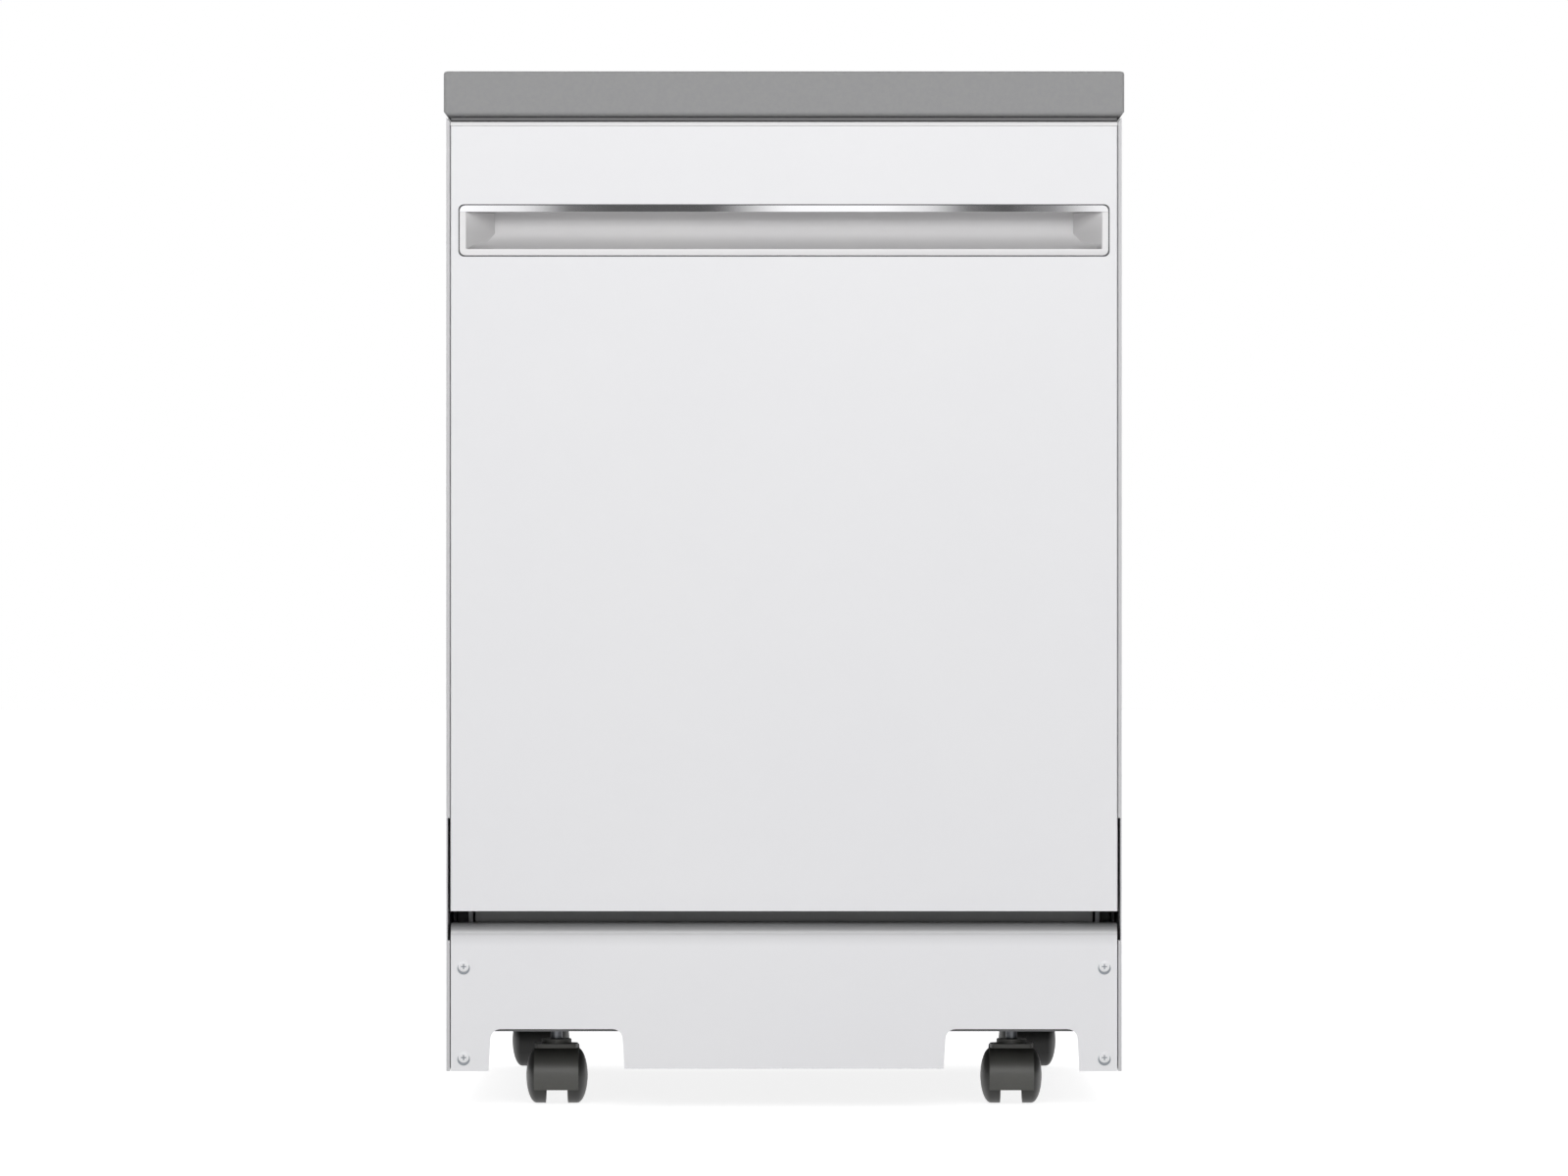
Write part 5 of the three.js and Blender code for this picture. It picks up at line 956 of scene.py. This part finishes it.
SIDES = (-1, 1)
LOWER_WHEEL_RADIUS = 0.0185
LOWER_WHEEL_OUT, UPPER_ROLLER_OUT = 0.2515, 0.2578
LOWER_AXLES = (-0.11325, 0.09625)
UPPER_AXLES = (0.09625, 0.201)
TRACK_LEVEL = 0.228
TRACK_GAP = 0.0005
WHEEL_LEVEL = TRACK_LEVEL + TRACK_GAP + LOWER_WHEEL_RADIUS
ROLLER_LEVEL = 0.611
lower_spots = [(side * LOWER_WHEEL_OUT, y, WHEEL_LEVEL) for side in SIDES for y in LOWER_AXLES]
upper_spots = [(side * UPPER_ROLLER_OUT, y, ROLLER_LEVEL) for side in SIDES for y in UPPER_AXLES]
lower_wheels = copies_of(make_rack_wheel(radius=LOWER_WHEEL_RADIUS, width=0.0108), lower_spots)
upper_rollers = copies_of(make_rack_wheel(radius=0.0122, width=0.0066), upper_spots)
print("rack wheels:", len(lower_wheels), "rollers:", len(upper_rollers))

# %% [markdown]
# Each lower wheel has a bracket of its own, clipped to the rack's wires, and the upper rollers share
# one on each side: a narrow plate with eased edges. A short round bar makes each axle.

# %% Rack wheel brackets
def eased_block(low, high, edge):
    bpy.ops.object.select_all(action="DESELECT")
    size = Vector(high) - Vector(low)
    bpy.ops.mesh.primitive_cube_add(size=1, location=(Vector(high) + Vector(low)) / 2)
    block = bpy.context.object
    block.scale = size
    settle(block)
    round_edges(block, edge, 2, 30)
    return block


def side_block(side, reach, depth, height, edge):
    """A block on one side of the machine. Reach is how far out it begins and ends."""
    left, right = sorted((side * reach[0], side * reach[1]))
    return eased_block((left, depth[0], height[0]), (right, depth[1], height[1]), edge)


def round_bar(radius, start, end, sides=16):
    bpy.ops.object.select_all(action="DESELECT")
    run = Vector(end) - Vector(start)
    bpy.ops.mesh.primitive_cylinder_add(
        vertices=sides,
        radius=radius,
        depth=run.length,
        location=(Vector(start) + Vector(end)) / 2,
        rotation=run.to_track_quat("Z", "Y").to_euler(),
    )
    bar = settle(bpy.context.object)
    round_edges(bar, min(radius * 0.25, 0.0008), 2, 60)
    return bar


def side_axle(side, radius, reach, y, level):
    return round_bar(radius, (side * reach[0], y, level), (side * reach[1], y, level))


BRACKET_HALF = 0.009
BRACKET_EDGE = 0.0008
BRACKET_TOP = 0.2725
lower_brackets = []
upper_brackets = []
for side in SIDES:
    for y in LOWER_AXLES:
        depth = (y - BRACKET_HALF, y + BRACKET_HALF)
        height = (WHEEL_LEVEL - BRACKET_HALF, BRACKET_TOP)
        lower_brackets.append(side_block(side, (0.2425, 0.2465), depth, height, BRACKET_EDGE))
        lower_brackets.append(side_axle(side, 0.004, (0.243, 0.2565), y, WHEEL_LEVEL))
    plate = side_block(side, (0.2465, 0.2495), (0.084, 0.213), (0.603, 0.619), BRACKET_EDGE)
    upper_brackets.append(plate)
    for y in UPPER_AXLES:
        upper_brackets.append(side_axle(side, 0.003, (0.248, 0.2605), y, ROLLER_LEVEL))
print("brackets:", len(lower_brackets), len(upper_brackets))

# %% [markdown]
# A rack's wires become one mesh and its plastic fittings another, because the two have different
# finishes. The wires stand for the CAD rack, and both ride with it when it slides out.

# %% Racks put together
def finish_rack(name, wires, plastic, body, node_name):
    rack = joined(name, wires)
    fittings = joined(name + "_fittings", plastic)
    for piece, slot in ((rack, "rack_coating"), (fittings, "grey_plastic")):
        dress(piece, finishes[slot], 40)
        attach(piece, body)
    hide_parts(node_name)


lower_wires, lower_fittings = [lower_basket] + lower_tines, lower_wheels + lower_brackets
upper_wires, upper_fittings = [upper_basket] + upper_tines, upper_rollers + upper_brackets
finish_rack("lower_rack_wires", lower_wires, lower_fittings, "lower_rack", "lower_rack")
finish_rack("upper_rack_wires", upper_wires, upper_fittings, "upper_rack", "upper_rack")
print("racks put together")

# %% [markdown]
# The machine stands on four twin-wheel casters. Each wheel is a disc with a domed outer face. A
# cylinder's end is inset again and again, each time a little further out, along a quarter of an
# ellipse, because a bevel as wide as the wheel is thick would be clamped. A shallow ring marks the
# hub cap, and the inner face is hollowed round its hub. One wheel is modelled with its inner face
# at X = 0.

# %% One caster wheel
DOME_STEPS = 9
# Each step goes inwards from the edge of the face before it, and then outwards or, below 0, back.
HUB_CAP = [(0.0004, -0.0006), (0.0006, 0.0007)]
INNER_HOLLOW = [(0.003, -0.003), (0.009, 0.0026)]


def make_caster_wheel(radius, width, dome):
    bpy.ops.object.select_all(action="DESELECT")
    straight = width - dome
    bpy.ops.mesh.primitive_cylinder_add(
        vertices=72, radius=radius, depth=straight, location=(straight / 2, 0, 0), rotation=ACROSS
    )
    wheel = settle(bpy.context.object)
    pick_end_face(wheel, ALONG_X)
    angles = [math.radians(90 * step / DOME_STEPS) for step in range(DOME_STEPS)]
    for before, after in zip(angles, angles[1:]):
        inwards = radius * (math.cos(before) - math.cos(after))
        outwards = dome * (math.sin(after) - math.sin(before))
        bpy.ops.mesh.inset(thickness=inwards, depth=outwards)
    bpy.ops.object.mode_set(mode="OBJECT")
    step_end_face(wheel, ALONG_X, HUB_CAP)
    step_end_face(wheel, -ALONG_X, INNER_HOLLOW)
    round_edges(wheel, 0.0003, 2, 50)
    recalculate(wheel)
    dress(wheel, finishes["wheel_plastic"], 35)
    return wheel


CASTER_WHEEL_RADIUS = 0.025
CASTER_WHEEL_WIDTH = 0.0177
CASTER_WHEEL_DOME = 0.0095
caster_wheel = make_caster_wheel(CASTER_WHEEL_RADIUS, CASTER_WHEEL_WIDTH, CASTER_WHEEL_DOME)
print("caster wheel faces:", len(caster_wheel.data.polygons))

# %% [markdown]
# The eight copies are turned so that each dome faces away from its hood. Each one takes its place
# from the CAD wheel that it stands for, and turns with that wheel's own body.

# %% Eight caster wheels
wheel_names = [name for name in nodes if name.startswith("wheel_")]
for name in wheel_names:
    low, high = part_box(name)
    middle = [(a + b) / 2 for a, b in zip(low, high)]
    faces_left = name.endswith("_left")
    inner_face = high[0] if faces_left else low[0]
    turn = Matrix.Rotation(math.radians(180), 4, "Z") if faces_left else Matrix.Identity(4)
    where = Matrix.Translation((inner_face, middle[1], CASTER_WHEEL_RADIUS)) @ turn
    wheel = placed_copy(caster_wheel, name + "_disc", where, name)
    # The rear wheels take the same nearly black copy, as painted shade.
    if "rear" in name:
        wheel.data.materials[0] = finishes["rear_caster_plastic"]
    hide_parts(name)
bpy.data.objects.remove(caster_wheel)
print("caster wheels:", len(wheel_names))

# %% [markdown]
# Each hood turns on a steel stem, which shows between its collar and the base. The stem in the hood
# is moulded over, so the bright part is a thin steel sleeve round it: a short round bar.

# %% Caster stems
STEM_SHAFT_RADIUS = 0.0053
STEM_FOOT, STEM_END = 0.0586, 0.0698
CASTER_TRAIL = 0.012
for name in [name for name in nodes if name.startswith("caster_")]:
    corner = name.removeprefix("caster_")
    left_low, left_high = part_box(f"wheel_{corner}_left")
    right_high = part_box(f"wheel_{corner}_right")[1]
    x = (left_low[0] + right_high[0]) / 2
    y = (left_low[1] + left_high[1]) / 2 - CASTER_TRAIL
    stem = round_bar(STEM_SHAFT_RADIUS, (x, y, STEM_FOOT), (x, y, STEM_END), sides=24)
    stem.name = name + "_stem"
    stem.data.materials.append(finishes["spring_steel"])
    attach(stem, name)
    print(stem.name, round(x, 4), round(y, 4))

# %% [markdown]
# A long counterbalance spring lies on each side of the base and takes the door's weight. The coil
# is one small ring of wire swept round by a Screw modifier. At each end it is caught by a hook: a
# ring of the same wire that stands across the coil, with a straight rod on to its anchor.

# %% Door springs
def make_coil(coil_radius, wire_radius, start, end, turns, level):
    bpy.ops.object.select_all(action="DESELECT")
    bpy.ops.mesh.primitive_circle_add(
        vertices=8, radius=wire_radius, location=(coil_radius, 0, 0), rotation=UPRIGHT
    )
    coil = settle(bpy.context.object)
    sweep = coil.modifiers.new("sweep", "SCREW")
    sweep.axis = "Z"
    sweep.screw_offset = (end - start) / turns
    sweep.iterations = turns
    sweep.steps = sweep.render_steps = 18
    apply_all(coil)
    bpy.ops.object.mode_set(mode="EDIT")
    bpy.ops.mesh.select_mode(type="EDGE")
    bpy.ops.mesh.select_all(action="DESELECT")
    bpy.ops.mesh.select_non_manifold()
    bpy.ops.mesh.edge_face_add()
    bpy.ops.object.mode_set(mode="OBJECT")
    lie_down = Matrix.Rotation(math.radians(-90), 4, "X")
    coil.data.transform(Matrix.Translation((0, start, level)) @ lie_down)
    return coil


def make_hook(ring_radius, wire_radius, y, level):
    bpy.ops.object.select_all(action="DESELECT")
    bpy.ops.mesh.primitive_torus_add(
        major_radius=ring_radius,
        minor_radius=wire_radius,
        major_segments=28,
        minor_segments=8,
        location=(0, y, level),
        rotation=ACROSS,
    )
    return settle(bpy.context.object)


SPRING_LEVEL = 0.106
SPRING_FRONT = -0.202
SPRING_BACK = -0.104
SPRING_OUT = 0.2845
SPRING_WIRE = 0.0012
HOOK_RADIUS = 0.0055
HOOK_OUT = 0.0045  # from the coil's end to the middle of its hook
ROD_OUT = 0.0095  # from the coil's end to the near end of its rod
ROD_RADIUS = 0.0016
ANCHOR_HALF = 0.005
COIL_RADIUS = 0.0062
COIL_TURNS = 30
for side, x in (("left", -SPRING_OUT), ("right", SPRING_OUT)):
    low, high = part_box(f"door_spring_{side}")
    front_rod = ((0, low[1] + 0.0002, SPRING_LEVEL), (0, SPRING_FRONT - ROD_OUT, SPRING_LEVEL))
    back_rod = ((0, SPRING_BACK + ROD_OUT, SPRING_LEVEL), (0, high[1] - 0.002, SPRING_LEVEL))
    anchor_low = (-ANCHOR_HALF, high[1] - 0.005, low[2])
    anchor_high = (ANCHOR_HALF, high[1], SPRING_LEVEL + 0.004)
    parts = [
        make_coil(COIL_RADIUS, SPRING_WIRE, SPRING_FRONT, SPRING_BACK, COIL_TURNS, SPRING_LEVEL),
        make_hook(HOOK_RADIUS, SPRING_WIRE, SPRING_FRONT - HOOK_OUT, SPRING_LEVEL),
        make_hook(HOOK_RADIUS, SPRING_WIRE, SPRING_BACK + HOOK_OUT, SPRING_LEVEL),
        round_bar(ROD_RADIUS, *front_rod),
        round_bar(ROD_RADIUS, *back_rod),
        eased_block(anchor_low, anchor_high, 0.0008),
    ]
    spring = joined(f"door_spring_{side}_coil", parts)
    spring.data.transform(Matrix.Translation((x, 0, 0)))
    recalculate(spring)
    dress(spring, finishes["spring_steel"], 50)
    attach(spring, "cabinet")
    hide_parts(f"door_spring_{side}")
    print(spring.name, len(spring.data.polygons))

# %% [markdown]
# Cutlery stands in a moulded basket with open lattice walls. A box of the basket's size, open at
# the top, is divided by straight cuts, and a Wireframe modifier turns every line of that grid into
# a thin plastic bar. A heavier rim, a wall between the two cells and a carrying handle are added.

# %% Silverware basket
def cut_grid(obj, planes):
    select_only(obj)
    bpy.ops.object.mode_set(mode="EDIT")
    for point, normal in planes:
        bpy.ops.mesh.select_all(action="SELECT")
        bpy.ops.mesh.bisect(plane_co=point, plane_no=normal)
    bpy.ops.object.mode_set(mode="OBJECT")


def delete_faces_facing(obj, direction):
    pick_faces(obj, lambda face: face.normal.dot(direction) > 0.9)
    bpy.ops.mesh.delete(type="FACE")
    bpy.ops.object.mode_set(mode="OBJECT")


def make_lattice_box(low, high, bar, across, along, up):
    bpy.ops.object.select_all(action="DESELECT")
    half_bar = Vector((bar / 2, bar / 2, bar / 2))
    low, high = Vector(low) + half_bar, Vector(high) - half_bar
    bpy.ops.mesh.primitive_cube_add(size=1, location=(low + high) / 2)
    box = bpy.context.object
    box.scale = high - low
    settle(box)
    delete_faces_facing(box, ALONG_Z)
    planes = cuts(ALONG_X, evenly(low.x, high.x, across)[1:-1])
    planes += cuts(ALONG_Y, evenly(low.y, high.y, along)[1:-1])
    planes += cuts(ALONG_Z, evenly(low.z, high.z, up)[1:-1])
    cut_grid(box, planes)
    bars = box.modifiers.new("bars", "WIREFRAME")
    bars.thickness = bar
    bars.use_even_offset = False
    apply_all(box)
    return box


BASKET_LOW = (0.172, -0.206, 0.2732)
BASKET_HIGH = (0.244, 0.034, 0.3905)
GRIP_LEVEL = 0.4245
GRIP_HALF = 0.034
RIM_WIRE = 0.0016
RIM_LEVELS = (0.3885, 0.3835)
WALL_HALF = 0.001
POST_HALF_WIDTH, POST_HALF_DEPTH = 0.006, 0.0024
basket_x = (BASKET_LOW[0] + BASKET_HIGH[0]) / 2
basket_y = (BASKET_LOW[1] + BASKET_HIGH[1]) / 2
wall_low = (BASKET_LOW[0], basket_y - WALL_HALF, BASKET_LOW[2])
wall_high = (BASKET_HIGH[0], basket_y + WALL_HALF, BASKET_HIGH[2])
rim_low = (BASKET_LOW[0] + RIM_WIRE, BASKET_LOW[1] + RIM_WIRE, 0.33)
rim_high = (BASKET_HIGH[0] - RIM_WIRE, BASKET_HIGH[1] - RIM_WIRE, 0.41)
post_low = (basket_x - POST_HALF_WIDTH, basket_y - POST_HALF_DEPTH, 0.2745)
post_high = (basket_x + POST_HALF_WIDTH, basket_y + POST_HALF_DEPTH, GRIP_LEVEL)
grip_front = (basket_x, basket_y - GRIP_HALF, GRIP_LEVEL)
grip_back = (basket_x, basket_y + GRIP_HALF, GRIP_LEVEL)
basket_parts = [
    make_lattice_box(BASKET_LOW, BASKET_HIGH, bar=0.0018, across=8, along=23, up=11),
    make_lattice_box(wall_low, wall_high, bar=0.0016, across=8, along=2, up=11),
    cut_wires("basket_rim", rim_low, rim_high, 0.006, cuts(ALONG_Z, RIM_LEVELS), RIM_WIRE),
    eased_block(post_low, post_high, 0.001),
    round_bar(0.006, grip_front, grip_back, sides=24),
]
basket = joined("silverware_basket_lattice", basket_parts)
dress(basket, finishes["grey_plastic"], 40)
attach(basket, "silverware_basket")
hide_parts("silverware_basket")
print("basket faces:", len(basket.data.polygons))

# %% [markdown]
# Water leaves each spray arm through small nozzles along its blades. A nozzle is a low eased disc
# with a slot stepped into its top. It is modelled once and copied along the blades, a little off
# their middle line and on opposite edges, which is what makes a real arm spin.

# %% Spray arm nozzles
def make_nozzle(radius, height):
    nozzle = settle(upright_disc(20, radius, height))
    step_end_face(nozzle, ALONG_Z, [(radius * 0.35, -height * 0.1), (radius * 0.25, -height * 0.6)])
    round_edges(nozzle, height * 0.2, 2, 60)
    return recalculate(nozzle)


NOZZLE_RADIUS = 0.0036
NOZZLE_HEIGHT = 0.0018
NOZZLE_SINK = 0.0004
NOZZLE_OFF_LINE = 0.006
BLADE_SWEEP = 0.05
# Each arm has its body, its axis in X and Y, its blades' top, its turn at rest in radians, and how
# far out along a blade each nozzle sits.
arm_places = [
    ("lower_spray_arm", (0, 0), 0.2533, 0.55, (0.05, 0.085, 0.12, 0.155, 0.185)),
    ("upper_spray_arm", (0, -0.010), 0.537, -0.4, (0.055, 0.095, 0.135, 0.175)),
]
for body, (x, y), top, turn, reach in arm_places:
    on_arm = Matrix.Translation((x, y, 0)) @ Matrix.Rotation(turn, 4, "Z")
    spots = []
    for end in (-1, 1):
        for index, out in enumerate(reach):
            off = NOZZLE_OFF_LINE if index % 2 else -NOZZLE_OFF_LINE
            along_blade = Vector((end * out, end * (off + out * BLADE_SWEEP), top - NOZZLE_SINK))
            spots.append(on_arm @ along_blade)
    nozzles = joined(body + "_nozzles", copies_of(make_nozzle(NOZZLE_RADIUS, NOZZLE_HEIGHT), spots))
    dress(nozzles, finishes["dark_plastic"], 40)
    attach(nozzles, body)
    print(nozzles.name, len(spots))

# %% [markdown]
# Zinc-plated screws hold the rear panel and the side panels' rear flanges. The same pan-head screw
# as at the front is made once more, in bare metal and a little smaller.

# %% Rear screws
FLANGE_BACK = 0.323
PANEL_BACK = 0.3215
# Each row has how far out its screws are, the face they sit on, and their levels.
rear_rows = [
    (0.2925, FLANGE_BACK, (0.06, 0.26, 0.46, 0.66, 0.86)),
    (0.272, PANEL_BACK, (0.12, 0.35, 0.58, 0.81)),
    (0.16, PANEL_BACK, (0.25, 0.49)),
]
rear_places = [(side * out, y, z) for out, y, levels in rear_rows for side in SIDES for z in levels]
rear_screw = make_screw(radius=0.004, height=0.0015, finish=finishes["zinc_steel"])
for number, place in enumerate(rear_places, start=1):
    where = Matrix.Translation(place) @ FACE_BACK
    placed_copy(rear_screw, f"rear_screw_{number:02d}", where, "cabinet")
bpy.data.objects.remove(rear_screw)
print("rear screws:", len(rear_places))

# %% [markdown]
# At each end the scoop runs out in a flat ramp, and the crease where the two meet is a curve. Each
# ramp is a block cut along its slope by a bisect, with the cut filled; the scoop's own curved wall
# then draws the crease.

# %% Ramps at the pocket's ends
SCOOP_HALF = 0.2831
RAMP_RUN = 0.0242
RAMP_FRONT, RAMP_BACK = -0.3228, -0.2925
RAMP_BOTTOM, RAMP_TOP = 0.7668, 0.7998
RAMP_EDGE = 0.0001
for word, side in (("left", -1), ("right", 1)):
    reach = (SCOOP_HALF, SCOOP_HALF - RAMP_RUN)
    ramp = side_block(side, reach, (RAMP_FRONT, RAMP_BACK), (RAMP_BOTTOM, RAMP_TOP), RAMP_EDGE)
    edit_all(ramp)
    slope = (-side * (RAMP_BACK - RAMP_FRONT), -RAMP_RUN, 0)
    foot = (side * SCOOP_HALF, RAMP_FRONT, 0)
    bpy.ops.mesh.bisect(plane_co=foot, plane_no=slope, use_fill=True, clear_outer=True)
    bpy.ops.object.mode_set(mode="OBJECT")
    ramp.name = f"pocket_ramp_{word}"
    # The ramp takes the white plastic with painted shade.
    ramp.data.materials.append(ramp_painted_shade)
    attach(ramp, "door")
    print(ramp.name, len(recalculate(ramp).data.polygons))

# %% [markdown]
# The moulded pocket drops into a cut-out in the door, and a hairline of shade runs round it where
# the two meet. A thin dark ring is that shade, painted: a flat rounded rectangle is inset, its
# middle is deleted, and the ring that is left gets a little thickness.

# %% Joint line round the pocket
LINE_THICKNESS = 0.0003


def make_joint_line(half, low, high, width, face, corner):
    bpy.ops.object.select_all(action="DESELECT")
    middle = (0, face, (low + high) / 2)
    bpy.ops.mesh.primitive_plane_add(size=1, location=middle, rotation=UPRIGHT)
    line = bpy.context.object
    line.scale = (2 * half, high - low, 1)
    edit_all(settle(line))
    bpy.ops.mesh.bevel(offset=corner, segments=5, affect="VERTICES")
    bpy.ops.mesh.select_all(action="SELECT")
    bpy.ops.mesh.inset(thickness=width, depth=0)
    bpy.ops.mesh.delete(type="FACE")
    bpy.ops.object.mode_set(mode="OBJECT")
    body = line.modifiers.new("body", "SOLIDIFY")
    body.thickness = LINE_THICKNESS
    body.offset = 0
    apply_all(line)
    return recalculate(line)


joint_line = make_joint_line(
    half=0.2899, low=0.7600, high=0.8066, width=0.0014, face=-0.32305, corner=0.0048
)
joint_line.name = "pocket_joint_line_painted_shade"
joint_line.data.materials.append(finishes["joint_shade"])
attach(joint_line, "door")
print("joint line:", [round(v, 4) for v in joint_line.dimensions])
